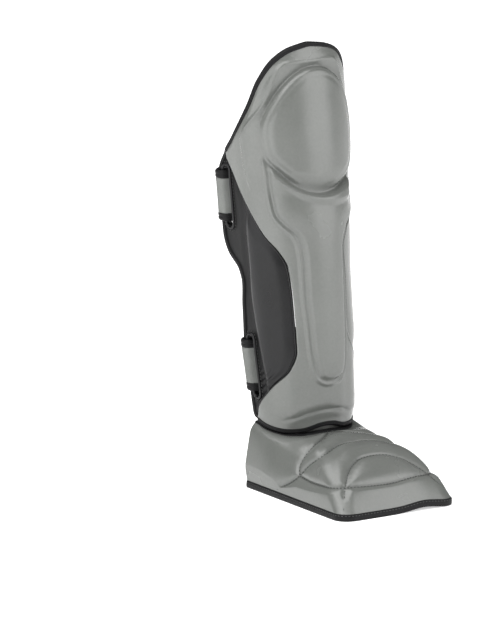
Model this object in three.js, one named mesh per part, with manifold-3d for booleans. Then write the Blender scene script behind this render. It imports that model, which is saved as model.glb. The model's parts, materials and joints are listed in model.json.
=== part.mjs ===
import * as THREE from 'three';
import Module from 'manifold-3d';
import { mergeVertices } from 'three/addons/utils/BufferGeometryUtils.js';

// Shin and instep guard for one leg, standing on the rim of its instep part.
// Millimetres, +Z up. The shin and the toes face -Y, the black panel is at -X, the wing at +X.
//
// The shin part is laid out on the skin of the leg: `turn` is the angle round the leg from the
// front in degrees, and past SIDE_TURN the wall runs straight back, PACE millimetres a degree.

const wasm = await Module();
wasm.setup();

// Driving sizes of the shin part
const SHIN_HEIGHT = 355.9;
const HEM_LEVEL = 61.6;
const LEG_HALF_WIDTH = 50;
const LEG_DEPTH = 42;
const SHIN_FRONT = 42;
const CALF_REACH = 55;
const CROWN_DROP = 125;
const HEM_DIP = 5.8;
const WING_FLARE = 0.1;

// Walls and relief of the shin part
const SHELL_WALL = 7;
const STEP_RISE = 3.5;
const BOSS_RISE = 4.6;
const BOSS_DOME = 1.4;
const CRESCENT_RISE = 2.6;
const PAD_RISE = 4.4;
const PAD_DOME = 1.6;
const BEVEL = 12;
const CROWN_MARGIN = 11;
const PANEL_WALL = 5;
const WING_WALL = 6.3;
const WING_FILLING = 6.5;
const PIPING = 2;

// Bound edges
const TAPE_WIDTH = 3.2;
const TAPE_PROUD = 0.8;

// Slots and straps
const SLOT_LENGTH = 57;
const SLOT_WIDTH = 8;
const TRIM_WIDTH = 2.5;
const TRIM_PROUD = 1.2;
const STRAP_WIDTH = 47.5;
const STRAP_TAPE = 7.5;
const STRAP_THICK = 2.2;
const STRAP_BOW = 7;
const STRAP_SEWN = 26;
const STRAP_TUCK = 12;
const STRAP_EASE = 0.9;
const UPPER_STRAP_LEVEL = 269.5;
const LOWER_STRAP_LEVEL = 112.5;
const UPPER_SLOT_SETBACK = 9;
const LOWER_SLOT_SETBACK = 8;

// Instep part
const INSTEP_LENGTH = 166;
const INSTEP_BACK = 2;
const INSTEP_HALF_WIDTH = 58;
const INSTEP_WALL = 7;
const INSTEP_SPREAD = 104;
const TOE_CORNER = 15;
const RIM_FLARE = 0.11;
const RIM_HEIGHT = 6.5;
const COLLAR_TAPE = 1.2;
const COLLAR_DROP = 5.4;
const PUFF = 4.2;
const PUFF_WIDTH = 9;
const EDGE_SOFT = 4;
const VAULT_LEAN = 0.6;
const FLANK_BEND = 1.25;
const TOE_BEND = 3.2;
const VAULT_EASE = 6;

// Ankle
const HINGE_THICK = 2;
const HINGE_TURN = 38;
const HINGE_LAP = 16;
const ELASTIC_THICK = 1.8;
const ELASTIC_WIDTH = 12;
const ELASTIC_SETBACK = 1;

// Clearances between touching pieces, and in the sewn seams
const GAP = 0.3;
const SEAM_GAP = 0.5;

// Layout of the skin
const SIDE_TURN = 90;
const PACE = 0.8;
const CROWN_LEVEL = HEM_LEVEL + SHIN_HEIGHT;

// Hollow of the leg: shares of LEG_HALF_WIDTH, LEG_DEPTH and SHIN_FRONT
const LEG = [
  { up: 0.00, half: 0.77, deep: 0.86, front: 0.98 },
  { up: 0.12, half: 0.77, deep: 0.88, front: 0.93 },
  { up: 0.25, half: 0.81, deep: 0.91, front: 0.86 },
  { up: 0.39, half: 0.88, deep: 0.96, front: 0.79 },
  { up: 0.53, half: 0.94, deep: 1.00, front: 0.68 },
  { up: 0.64, half: 0.97, deep: 1.00, front: 0.52 },
  { up: 0.79, half: 1.02, deep: 0.98, front: 0.36 },
  { up: 1.00, half: 1.10, deep: 0.94, front: 0.14 },
];

// Back edges: how far back the wall reaches, as a share of CALF_REACH
const PANEL_EDGE = [
  { up: 0.00, reach: 0.14 },
  { up: 0.08, reach: 0.26 },
  { up: 0.22, reach: 0.41 },
  { up: 0.30, reach: 0.41 },
  { up: 0.36, reach: 0.38 },
  { up: 0.40, reach: 0.46 },
  { up: 0.44, reach: 0.72 },
  { up: 0.48, reach: 0.82 },
  { up: 0.55, reach: 0.86 },
  { up: 0.64, reach: 0.92 },
];
const WING_EDGE = [
  { up: 0.00, reach: 0.16 },
  { up: 0.04, reach: 0.42 },
  { up: 0.12, reach: 0.62 },
  { up: 0.23, reach: 0.46 },
  { up: 0.34, reach: 0.29 },
  { up: 0.41, reach: 0.31 },
  { up: 0.47, reach: 0.58 },
  { up: 0.53, reach: 1.03 },
  { up: 0.61, reach: 1.22 },
  { up: 0.68, reach: 1.14 },
];

// Crown edge: how far it falls from the top of the shin, as a share of CROWN_DROP
const PANEL_CROWN = [
  { turn: 0, drop: 0.00 },
  { turn: 18, drop: 0.03 },
  { turn: 34, drop: 0.10 },
  { turn: 51, drop: 0.25 },
  { turn: 66, drop: 0.45 },
  { turn: 88, drop: 0.66 },
  { turn: 111, drop: 0.82 },
  { turn: 124, drop: 0.93 },
  { turn: 132, drop: 1.05 },
];
const WING_CROWN = [
  { turn: 0, drop: 0.00 },
  { turn: 18, drop: 0.025 },
  { turn: 34, drop: 0.07 },
  { turn: 51, drop: 0.18 },
  { turn: 66, drop: 0.38 },
  { turn: 88, drop: 0.64 },
  { turn: 124, drop: 0.85 },
  { turn: 143, drop: 0.98 },
  { turn: 152, drop: 1.12 },
];

// Seams between the shell and its sides
const PANEL_SEAM = [
  { up: 0.00, turn: 101 },
  { up: 0.05, turn: 88 },
  { up: 0.10, turn: 68 },
  { up: 0.15, turn: 45 },
  { up: 0.20, turn: 36.5 },
  { up: 0.33, turn: 37 },
  { up: 0.42, turn: 40 },
  { up: 0.46, turn: 48 },
  { up: 0.50, turn: 62 },
  { up: 0.56, turn: 77 },
  { up: 0.64, turn: 95 },
  { up: 0.70, turn: 112 },
];
const WING_SEAM = [
  { up: 0.00, turn: 103 },
  { up: 0.05, turn: 97 },
  { up: 0.14, turn: 71 },
  { up: 0.21, turn: 42 },
  { up: 0.25, turn: 36 },
  { up: 0.35, turn: 33 },
  { up: 0.46, turn: 30 },
  { up: 0.51, turn: 38 },
  { up: 0.58, turn: 60 },
  { up: 0.69, turn: 80 },
  { up: 0.77, turn: 93 },
];

// Filling of the wing by height, as a share of WING_FILLING
const WING_FILL = [
  { up: 0.00, full: 0.0 },
  { up: 0.04, full: 0.7 },
  { up: 0.20, full: 1.0 },
  { up: 0.30, full: 0.6 },
  { up: 0.41, full: 0.25 },
  { up: 0.60, full: 0.3 },
  { up: 0.77, full: 0.0 },
];

// Hem of the shin part, as shares of HEM_DIP over HEM_LEVEL, and the gap from its tape down to
// the collar of the instep part, as shares of COLLAR_DROP
const HEM = [
  { turn: 0, rise: 0.36 },
  { turn: 12, rise: 0.2 },
  { turn: 22, rise: -0.17 },
  { turn: 34, rise: -0.55 },
  { turn: 50, rise: -0.65 },
  { turn: 68, rise: -0.38 },
  { turn: 84, rise: 0.03 },
  { turn: 100, rise: 0.6 },
  { turn: 115, rise: 1 },
];
const COLLAR = [
  { turn: 0, drop: 1 },
  { turn: 16, drop: 0.78 },
  { turn: 30, drop: 0.46 },
  { turn: 45, drop: 0.38 },
  { turn: 68, drop: 0.38 },
  { turn: 84, drop: 0.41 },
  { turn: 104, drop: 0.5 },
];

// Outlines of the raised forms, one half of each from its top to its foot
const BOSS = [
  { turn: 0, up: 0.932 },
  { turn: 14, up: 0.922 },
  { turn: 28, up: 0.892 },
  { turn: 42, up: 0.845 },
  { turn: 50, up: 0.81 },
  { turn: 53, up: 0.785 },
  { turn: 53, up: 0.74 },
  { turn: 50, up: 0.706 },
  { turn: 39, up: 0.672 },
  { turn: 25, up: 0.639 },
  { turn: 12, up: 0.619 },
  { turn: 0, up: 0.611 },
];
const CRESCENT = [
  { turn: 0, up: 0.70 },
  { turn: 40, up: 0.72 },
  { turn: 53, up: 0.70 },
  { turn: 50, up: 0.668 },
  { turn: 44, up: 0.65 },
  { turn: 35, up: 0.624 },
  { turn: 24, up: 0.598 },
  { turn: 12, up: 0.583 },
  { turn: 0, up: 0.574 },
];
const LONG_PAD = [
  { turn: 0, up: 0.72 },
  { turn: 52, up: 0.72 },
  { turn: 54, up: 0.66 },
  { turn: 54, up: 0.60 },
  { turn: 51, up: 0.55 },
  { turn: 43, up: 0.524 },
  { turn: 33, up: 0.499 },
  { turn: 29, up: 0.466 },
  { turn: 28, up: 0.338 },
  { turn: 26, up: 0.266 },
  { turn: 24, up: 0.193 },
  { turn: 21, up: 0.15 },
  { turn: 16, up: 0.12 },
  { turn: 6, up: 0.106 },
  { turn: 0, up: 0.105 },
];

// Seams of the instep part: `side` runs from the centre line (0) to the back edge (1),
// `down` from the collar (0) to the rim (1)
const INSTEP_SEAMS = [
  [
    { side: 0, down: 0.03 },
    { side: 0.1, down: 0.13 },
    { side: 0.28, down: 0.29 },
    { side: 0.46, down: 0.47 },
    { side: 0.525, down: 0.57 },
    { side: 0.52, down: 0.68 },
  ],
  [
    { side: 0, down: 0.38 },
    { side: 0.09, down: 0.42 },
    { side: 0.23, down: 0.5 },
    { side: 0.36, down: 0.58 },
    { side: 0.52, down: 0.68 },
  ],
  [
    { side: 0, down: 0.62 },
    { side: 0.09, down: 0.665 },
    { side: 0.16, down: 0.695 },
    { side: 0.2, down: 0.79 },
    { side: 0.25, down: 1 },
  ],
  [
    { side: 0, down: 0.86 },
    { side: 0.12, down: 0.835 },
    { side: 0.21, down: 0.81 },
    { side: 0.35, down: 0.76 },
    { side: 0.43, down: 0.7 },
    { side: 0.52, down: 0.68 },
  ],
  [
    { side: 0.52, down: 0.68 },
    { side: 0.6, down: 0.78 },
    { side: 0.69, down: 0.89 },
    { side: 0.77, down: 1 },
  ],
];

const GREY = { color: 0x9b9d9a, roughness: 0.5, metalness: 0 };
const BLACK = { color: 0x2c2c2e, roughness: 0.45, metalness: 0 };
const TAPE = { color: 0x303132, roughness: 0.6, metalness: 0 };
const ELASTIC = { color: 0x8f918f, roughness: 0.8, metalness: 0 };

const guard = new THREE.Group();

function piece(name, geometry, finish) {
  const mesh = new THREE.Mesh(geometry, new THREE.MeshStandardMaterial(finish));
  mesh.name = name;
  guard.add(mesh);
}

// A smooth line through a table's rows that never swings past them
function track(rows, from, to) {
  const x = rows.map((row) => row[from]);
  const y = rows.map((row) => row[to]);
  const rise = x.slice(1).map((next, i) => (y[i + 1] - y[i]) / (next - x[i]));
  const slope = x.map((_, i) => {
    const before = rise[Math.max(i - 1, 0)];
    const after = rise[Math.min(i, rise.length - 1)];
    return before * after <= 0 ? 0 : (2 * before * after) / (before + after);
  });
  return (at) => {
    const where = THREE.MathUtils.clamp(at, x[0], x[x.length - 1]);
    let i = 0;
    while (i < x.length - 2 && where > x[i + 1]) i += 1;
    const span = x[i + 1] - x[i];
    const t = (where - x[i]) / span;
    const ends = y[i] * (1 + 2 * t) * (1 - t) ** 2 + y[i + 1] * t * t * (3 - 2 * t);
    return ends + span * (slope[i] * t * (1 - t) ** 2 - slope[i + 1] * t * t * (1 - t));
  };
}

const hemRise = track(HEM, 'turn', 'rise');
const collarDrop = track(COLLAR, 'turn', 'drop');
const wingFill = track(WING_FILL, 'up', 'full');
const legHalf = track(LEG, 'up', 'half');
const legDeep = track(LEG, 'up', 'deep');
const legFront = track(LEG, 'up', 'front');
const panelSide = {
  sign: -1,
  wall: PANEL_WALL,
  fill: () => 0,
  edge: track(PANEL_EDGE, 'up', 'reach'),
  crown: track(PANEL_CROWN, 'turn', 'drop'),
  seam: track(PANEL_SEAM, 'up', 'turn'),
};
const wingSide = {
  sign: 1,
  wall: WING_WALL,
  fill: (up) => WING_FILLING * wingFill(up),
  edge: track(WING_EDGE, 'up', 'reach'),
  crown: track(WING_CROWN, 'turn', 'drop'),
  seam: track(WING_SEAM, 'up', 'turn'),
};

function sideOf(turn) {
  return turn < 0 ? panelSide : wingSide;
}

function share(level) {
  return (level - HEM_LEVEL) / SHIN_HEIGHT;
}

function legMiddle(up) {
  return LEG_DEPTH * legDeep(up) - SHIN_FRONT * legFront(up);
}

// Inner face of the guard, where the leg lies
function inner(turn, level) {
  const up = share(level);
  const half = LEG_HALF_WIDTH * legHalf(up);
  const deep = LEG_DEPTH * legDeep(up);
  const round = Math.min(Math.abs(turn), SIDE_TURN) * THREE.MathUtils.DEG2RAD;
  const back = Math.max(Math.abs(turn) - SIDE_TURN, 0) * PACE;
  const x = Math.sign(turn) * half * (Math.sin(round) + WING_FLARE * (back / half) ** 2);
  return new THREE.Vector3(x, legMiddle(up) - deep * Math.cos(round) + back, level);
}

function outward(turn, level) {
  const step = 0.5;
  const across = inner(turn + step, level).sub(inner(turn - step, level));
  const upward = inner(turn, level + step).sub(inner(turn, level - step));
  return across.cross(upward).normalize();
}

// A point `out` millimetres off the leg
function skin(turn, level, out) {
  return inner(turn, level).addScaledVector(outward(turn, level), out);
}

function crownLevel(turn) {
  return CROWN_LEVEL - TAPE_WIDTH - CROWN_DROP * sideOf(turn).crown(Math.abs(turn));
}

function hemLevel(turn) {
  return HEM_LEVEL + HEM_DIP * hemRise(Math.abs(turn));
}

function edgeTurn(side, level) {
  const up = share(level);
  return SIDE_TURN + (CALF_REACH * side.edge(up) - legMiddle(up)) / PACE;
}

// Height of the crown over a column that leans with `turnAt`
function topOf(turnAt) {
  let low = HEM_LEVEL;
  let high = CROWN_LEVEL;
  for (let i = 0; i < 30; i += 1) {
    const level = (low + high) / 2;
    if (level < crownLevel(turnAt(level))) low = level;
    else high = level;
  }
  return low;
}

// Closed outline on the unrolled skin from one half of a form
function outlineOf(rows) {
  const flat = (row, sign) => new THREE.Vector3(sign * row.turn * PACE, HEM_LEVEL + row.up * SHIN_HEIGHT, 0);
  const right = rows.map((row) => flat(row, 1));
  const left = rows.slice(1, -1).reverse().map((row) => flat(row, -1));
  return new THREE.CatmullRomCurve3([...right, ...left], true).getPoints(72);
}

// Distance to the outline, above zero inside it
function inset(outline, x, z) {
  let near = Infinity;
  let inside = false;
  for (let i = 0; i + 1 < outline.length; i += 1) {
    const a = outline[i];
    const b = outline[i + 1];
    const dx = b.x - a.x;
    const dz = b.y - a.y;
    const t = THREE.MathUtils.clamp(((x - a.x) * dx + (z - a.y) * dz) / (dx * dx + dz * dz), 0, 1);
    near = Math.min(near, Math.hypot(x - a.x - t * dx, z - a.y - t * dz));
    if ((a.y > z) !== (b.y > z) && x < a.x + (dx * (z - a.y)) / dz) inside = !inside;
  }
  return inside ? near : -near;
}

const boss = outlineOf(BOSS);
const crescent = outlineOf(CRESCENT);
const longPad = outlineOf(LONG_PAD);

function ramp(value, width) {
  return THREE.MathUtils.smoothstep(value, 0, width);
}

// Wall of the moulded shell: a margin, a step, and the raised forms inside it
function shellWall(turn, level) {
  const x = turn * PACE;
  const step = ramp(crownLevel(turn) - level - CROWN_MARGIN, BEVEL);
  const onBoss = inset(boss, x, level);
  const onCrescent = inset(crescent, x, level);
  const onPad = inset(longPad, x, level);
  const padRise = PAD_RISE * ramp(onPad, BEVEL) + PAD_DOME * ramp(onPad, 3 * BEVEL);
  const belowBoss = (padRise + CRESCENT_RISE * ramp(onCrescent, BEVEL)) * ramp(-onBoss, BEVEL);
  const bossRise = BOSS_RISE * ramp(onBoss, BEVEL) + BOSS_DOME * ramp(onBoss, 4 * BEVEL);
  return SHELL_WALL + STEP_RISE * step + belowBoss + bossRise;
}

// A closed sheet from two grids of points, one over the other
function sheet(columns, rows, outerAt, innerAt) {
  const points = [];
  for (const at of [outerAt, innerAt]) {
    for (let i = 0; i <= columns; i += 1) {
      for (let j = 0; j <= rows; j += 1) points.push(at(i / columns, j / rows));
    }
  }
  const id = (layer, i, j) => (layer * (columns + 1) + i) * (rows + 1) + j;
  const faces = [];
  const quad = (a, b, c, d) => faces.push(a, b, c, a, c, d);
  for (let i = 0; i < columns; i += 1) {
    for (let j = 0; j < rows; j += 1) {
      const corners = [id(0, i, j), id(0, i + 1, j), id(0, i + 1, j + 1), id(0, i, j + 1)];
      if (i < columns / 2) corners.push(corners.shift());
      quad(...corners);
      quad(id(1, i, j), id(1, i, j + 1), id(1, i + 1, j + 1), id(1, i + 1, j));
    }
    quad(id(0, i, 0), id(1, i, 0), id(1, i + 1, 0), id(0, i + 1, 0));
    quad(id(0, i, rows), id(0, i + 1, rows), id(1, i + 1, rows), id(1, i, rows));
  }
  for (let j = 0; j < rows; j += 1) {
    quad(id(0, 0, j), id(0, 0, j + 1), id(1, 0, j + 1), id(1, 0, j));
    quad(id(0, columns, j), id(1, columns, j), id(1, columns, j + 1), id(0, columns, j + 1));
  }
  return solid(points, faces);
}

// A closed band through a row of like sections, joined end to end or capped
function band(sections, joined) {
  const count = sections.length;
  const corners = sections[0].length;
  const faces = [];
  const id = (i, k) => (i % count) * corners + (k % corners);
  for (let i = 0; i < (joined ? count : count - 1); i += 1) {
    for (let k = 0; k < corners; k += 1) {
      faces.push(id(i, k), id(i + 1, k), id(i + 1, k + 1), id(i, k), id(i + 1, k + 1), id(i, k + 1));
    }
  }
  for (let k = 1; k < corners - 1 && !joined; k += 1) {
    faces.push(id(0, 0), id(0, k), id(0, k + 1));
    faces.push(id(count - 1, 0), id(count - 1, k + 1), id(count - 1, k));
  }
  return solid(sections.flat(), faces);
}

// Triangles that enclose a positive volume
function solid(points, faces) {
  let volume = 0;
  for (let i = 0; i < faces.length; i += 3) {
    const [a, b, c] = [points[faces[i]], points[faces[i + 1]], points[faces[i + 2]]];
    volume += a.dot(b.clone().cross(c));
  }
  const geometry = new THREE.BufferGeometry().setFromPoints(points);
  geometry.setIndex(volume < 0 ? faces.reverse() : faces);
  geometry.computeVertexNormals();
  return geometry;
}

// Shin part: patches between seams and edges on the skin
const SHIN_ROWS = 34;
const SHELL_COLUMNS = 30;
const SIDE_COLUMNS = 5;
const SLOT_STEPS = 7;
const STRAP_STEPS = 26;

// Place on the shell, `across` from -1 at the panel's seam to 1 at the wing's
function onShell(across, upward) {
  const side = across < 0 ? panelSide : wingSide;
  const turnAt = (level) => across * (side.seam(share(level)) - SEAM_GAP / PACE / 2);
  const low = hemLevel(turnAt(HEM_LEVEL));
  const level = low + (topOf(turnAt) - low) * upward;
  return { turn: turnAt(level), level };
}

// Place on a side piece, `across` from 0 at its seam to 1 at its back edge
function onSide(side, across, upward) {
  const turnAt = (level) => {
    const seam = side.seam(share(level)) + SEAM_GAP / PACE / 2;
    return side.sign * (seam + (edgeTurn(side, level) - seam) * across);
  };
  const low = hemLevel(turnAt(HEM_LEVEL));
  const level = low + (topOf(turnAt) - low) * upward;
  return { turn: turnAt(level), level };
}

// Soft filling of a side piece, thickest halfway between seam and edge
function sideWall(side, across, level) {
  const middle = Math.sin(Math.PI * across);
  return side.wall + side.fill(share(level)) * Math.sqrt(Math.max(middle, 0));
}

function shellAt(across, upward, filled) {
  const { turn, level } = onShell(across, upward);
  return skin(turn, level, filled ? shellWall(turn, level) : 0);
}

function sideAt(side, across, upward, filled) {
  const { turn, level } = onSide(side, across, upward);
  return skin(turn, level, filled ? sideWall(side, across, level) : 0);
}

function shinShell() {
  const at = (filled) => (i, j) => shellAt(2 * i - 1, j, filled);
  return sheet(SHELL_COLUMNS, SHIN_ROWS, at(true), at(false));
}

function sidePiece(side) {
  const at = (filled) => (i, j) => sideAt(side, i, j, filled);
  return sheet(SIDE_COLUMNS, SHIN_ROWS, at(true), at(false));
}

// Piping in the corner between the shell and the panel
function panelPiping() {
  const sections = [];
  for (let j = 1; j < SHIN_ROWS; j += 1) {
    const { turn, level } = onSide(panelSide, 0, j / SHIN_ROWS);
    const corner = (across, out) => skin(turn - (across + GAP / 2) / PACE, level, PANEL_WALL + GAP + out);
    sections.push([corner(0, 0), corner(0, PIPING), corner(PIPING, PIPING * 0.6), corner(PIPING, 0)]);
  }
  return band(sections, false);
}

// Edge of the shin part, once round: crown, panel, hem and wing
function shinEdge() {
  const pair = (at) => ({ face: at(true), back: at(false) });
  const steps = (count) => [...Array(count).keys()].map((i) => i / count);
  const shell = (across, upward) => pair((filled) => shellAt(across, upward, filled));
  const onto = (side, across, upward) => pair((filled) => sideAt(side, across, upward, filled));
  return [
    ...steps(SHELL_COLUMNS).map((s) => shell(1 - 2 * s, 1)),
    ...steps(SIDE_COLUMNS).map((s) => onto(panelSide, s, 1)),
    ...steps(SHIN_ROWS).map((s) => onto(panelSide, 1, 1 - s)),
    onto(panelSide, 1, 0),
    ...steps(SHELL_COLUMNS).map((s) => shell(2 * s - 1, 0)),
    onto(wingSide, 0, 0),
    ...steps(SHIN_ROWS).map((s) => onto(wingSide, 1, s)),
    ...steps(SIDE_COLUMNS).map((s) => onto(wingSide, 1 - s, 1)),
  ];
}

// Tape bound round an edge: a rounded strip that stands off the cut edge by GAP
function tape(edge, width, joined) {
  const count = edge.length;
  const middles = edge.map(({ face, back }) => face.clone().add(back).multiplyScalar(0.5));
  return band(edge.map(({ face, back }, i) => {
    const next = middles[joined ? (i + 1) % count : Math.min(i + 1, count - 1)];
    const last = middles[joined ? (i + count - 1) % count : Math.max(i - 1, 0)];
    const through = face.clone().sub(back).normalize();
    const off = next.clone().sub(last).normalize().cross(through).normalize();
    const half = face.distanceTo(back) / 2 + TAPE_PROUD;
    const corner = (away, thick) => middles[i].clone().addScaledVector(off, away).addScaledVector(through, thick);
    return [
      corner(GAP, -half),
      corner(GAP, half),
      corner(GAP + width * 0.65, half * 0.85),
      corner(GAP + width, 0),
      corner(GAP + width * 0.65, -half * 0.85),
    ];
  }), joined);
}

// Two slots in the panel, each along the back edge, for the straps
const LINING = TAPE_PROUD + GAP;
const straps = [
  { name: 'upper', level: UPPER_STRAP_LEVEL, setback: UPPER_SLOT_SETBACK },
  { name: 'lower', level: LOWER_STRAP_LEVEL, setback: LOWER_SLOT_SETBACK },
];

function slotTurn(strap, level, across) {
  return -(edgeTurn(panelSide, level) - (strap.setback - across) / PACE);
}

// Ring round a slot, `wider` than the opening and `out` from the leg
function slotRing(strap, wider, out) {
  const radius = SLOT_WIDTH / 2 + wider;
  const straight = (SLOT_LENGTH - SLOT_WIDTH) / 2;
  const ring = [];
  for (const end of [1, -1]) {
    for (let k = 0; k <= SLOT_STEPS; k += 1) {
      const angle = (Math.PI * k) / SLOT_STEPS;
      const level = strap.level + end * (straight + radius * Math.sin(angle));
      ring.push(skin(slotTurn(strap, level, end * radius * Math.cos(angle)), level, out));
    }
  }
  return ring;
}

function toManifold(geometry) {
  const bare = geometry.clone();
  bare.deleteAttribute('normal');
  const merged = mergeVertices(bare);
  const vertProperties = new Float32Array(merged.attributes.position.array);
  return new wasm.Manifold(new wasm.Mesh({ numProp: 3, vertProperties, triVerts: merged.index.array }));
}

function cutSlots(geometry) {
  const cutters = straps.map((strap) => {
    const depth = 2 * PANEL_WALL;
    return toManifold(band([slotRing(strap, 0, -depth), slotRing(strap, 0, 2 * depth)], false));
  });
  const cut = cutters.reduce((rest, cutter) => rest.subtract(cutter), toManifold(geometry)).getMesh();
  const result = new THREE.BufferGeometry();
  result.setAttribute('position', new THREE.BufferAttribute(new Float32Array(cut.vertProperties), cut.numProp));
  result.setIndex(Array.from(cut.triVerts));
  return result;
}

function slotTrim(strap) {
  const ring = (wider, out) => slotRing(strap, wider, PANEL_WALL + out);
  const rings = [ring(0, GAP), ring(0, TRIM_PROUD), ring(TRIM_WIDTH, TRIM_PROUD), ring(TRIM_WIDTH, GAP)];
  return band(rings[0].map((_, k) => rings.map((one) => one[k])), true);
}

// Middle line of a strap at one level: out through the slot, round the back, in along the wing
function strapLine(strap, level) {
  const thick = STRAP_THICK / 2;
  const flat = (turn, out) => skin(turn, level, out);
  const inside = -(LINING + thick);
  const over = PANEL_WALL + TRIM_PROUD + STRAP_EASE + thick;
  const panelEdge = edgeTurn(panelSide, level);
  const wingEdge = edgeTurn(wingSide, level);
  const beyond = TAPE_WIDTH + STRAP_EASE + thick;
  const back = Math.max(inner(panelEdge, level).y, inner(wingEdge, level).y) + beyond;
  const half = inner(panelEdge, level).x;
  return new THREE.CatmullRomCurve3([
    flat(slotTurn(strap, level, -SLOT_WIDTH / 2 - STRAP_TUCK), inside),
    flat(slotTurn(strap, level, -SLOT_WIDTH * 0.4), inside),
    flat(slotTurn(strap, level, 0), PANEL_WALL / 2),
    flat(slotTurn(strap, level, SLOT_WIDTH * 0.4), over),
    flat(-(panelEdge + TAPE_WIDTH / PACE / 2), over),
    flat(-(panelEdge + (beyond + STRAP_EASE) / PACE), PANEL_WALL * 0.6),
    new THREE.Vector3(-half * 0.62, back - STRAP_BOW * 0.1, level),
    new THREE.Vector3(0, back + STRAP_BOW * 0.5, level),
    new THREE.Vector3(half * 0.62, back + STRAP_BOW * 0.4, level),
    flat(wingEdge + beyond / PACE, inside - 2 * STRAP_THICK),
    flat(wingEdge - TAPE_WIDTH / PACE, inside),
    flat(wingEdge - STRAP_SEWN / PACE, inside),
  ]).getPoints(STRAP_STEPS);
}

// Part of a strap between two heights above its middle
function strapBand(strap, low, high, thick) {
  const levels = [strap.level + low, strap.level + high];
  const lines = levels.map((level) => strapLine(strap, level));
  const at = (side) => (i, j) => {
    const line = lines[Math.round(j)];
    const k = Math.round(i * STRAP_STEPS);
    const ahead = line[Math.min(k + 1, STRAP_STEPS)];
    const behind = line[Math.max(k - 1, 0)];
    const off = new THREE.Vector3(ahead.y - behind.y, behind.x - ahead.x, 0).normalize();
    const point = line[k].clone().addScaledVector(off, (side * thick) / 2);
    return point.setZ(levels[Math.round(j)]);
  };
  return sheet(STRAP_STEPS, 1, at(1), at(-1));
}

function buildStrap(strap) {
  const half = STRAP_WIDTH / 2;
  const seam = half - STRAP_TAPE;
  piece(`strap_${strap.name}`, strapBand(strap, -seam, seam, STRAP_THICK), ELASTIC);
  piece(`strap_${strap.name}_tape_top`, strapBand(strap, seam + GAP, half, STRAP_THICK), TAPE);
  piece(`strap_${strap.name}_tape_bottom`, strapBand(strap, -half, -seam - GAP, STRAP_THICK), TAPE);
  piece(`slot_trim_${strap.name}`, slotTrim(strap), TAPE);
}

piece('shin_shell', shinShell(), GREY);
piece('side_wing', sidePiece(wingSide), GREY);
piece('side_panel', cutSlots(sidePiece(panelSide)), BLACK);
piece('panel_piping', panelPiping(), TAPE);
piece('edge_binding', tape(shinEdge(), TAPE_WIDTH, true), TAPE);
straps.forEach(buildStrap);

// Instep part: a vault from the collar round the ankle down to the rim on the floor
const INSTEP_COLUMNS = 22;
const INSTEP_ROWS = 15;
const RIM_TOP = RIM_HEIGHT + GAP;

function collarLevel(turn) {
  return hemLevel(turn) - TAPE_WIDTH - COLLAR_DROP * collarDrop(Math.abs(turn));
}

// Plan of the rim, `side` from 0 at the toes to 1 at the back, `inward` from its outer line
function rimPlan(side, inward) {
  const half = INSTEP_HALF_WIDTH - inward;
  const corner = TOE_CORNER;
  const front = INSTEP_BACK - INSTEP_LENGTH + inward;
  const toe = Math.max(half - corner, 0);
  const arc = (corner * Math.PI) / 2;
  const flank = INSTEP_LENGTH - inward - corner;
  const at = side * (toe + arc + flank);
  const bend = THREE.MathUtils.clamp((at - toe) / corner, 0, Math.PI / 2);
  const x = at < toe ? at : toe + corner * Math.sin(bend);
  const y = front + corner * (1 - Math.cos(bend)) + Math.max(at - toe - arc, 0);
  return new THREE.Vector2(x * (1 + (RIM_FLARE * (INSTEP_BACK - y)) / INSTEP_LENGTH), y);
}

// Bare vault without its puffs
function vault(side, down, filled) {
  const away = Math.abs(side);
  const turn = side * INSTEP_SPREAD;
  const collar = skin(turn, collarLevel(turn), filled ? INSTEP_WALL : 0);
  const rim = rimPlan(away, filled ? 0 : INSTEP_WALL);
  const bend = FLANK_BEND + (TOE_BEND - FLANK_BEND) * Math.cos((Math.PI * away) / 2) ** VAULT_EASE;
  const x = THREE.MathUtils.lerp(collar.x, Math.sign(side) * rim.x, down);
  const y = THREE.MathUtils.lerp(collar.y, rim.y, down);
  const lift = filled ? 0 : INSTEP_WALL * Math.sin(Math.PI * down) * VAULT_LEAN;
  const z = collar.z - (collar.z - RIM_TOP) * down ** bend - lift;
  return new THREE.Vector3(x, y, z);
}

const instepSeams = INSTEP_SEAMS.flatMap((rows) => {
  const line = new THREE.CatmullRomCurve3(rows.map(({ side, down }) => vault(side, down, true)));
  const points = line.getPoints(16);
  return [points, points.map((point) => new THREE.Vector3(-point.x, point.y, point.z))];
});

function seamDistance(point) {
  const stretch = new THREE.Line3();
  const near = new THREE.Vector3();
  let least = Infinity;
  for (const points of instepSeams) {
    for (let i = 0; i + 1 < points.length; i += 1) {
      stretch.set(points[i], points[i + 1]).closestPointToPoint(point, true, near);
      least = Math.min(least, near.distanceTo(point));
    }
  }
  return least;
}

function instepAt(side, down, filled) {
  const point = vault(side, down, filled);
  if (!filled) return point;
  const step = 0.01;
  const across = vault(side + step, down, true).sub(vault(side - step, down, true));
  const along = vault(side, Math.min(down + step, 1), true).sub(vault(side, Math.max(down - step, 0), true));
  const off = along.cross(across).normalize();
  const edge = Math.min(down, 1 - down) * EDGE_SOFT;
  const puff = PUFF * Math.min(ramp(seamDistance(point), PUFF_WIDTH), ramp(edge, 1));
  return point.addScaledVector(off, puff);
}

function instepShell() {
  const at = (filled) => (i, j) => instepAt(2 * i - 1, j, filled);
  return sheet(INSTEP_COLUMNS, INSTEP_ROWS, at(true), at(false));
}

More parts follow.
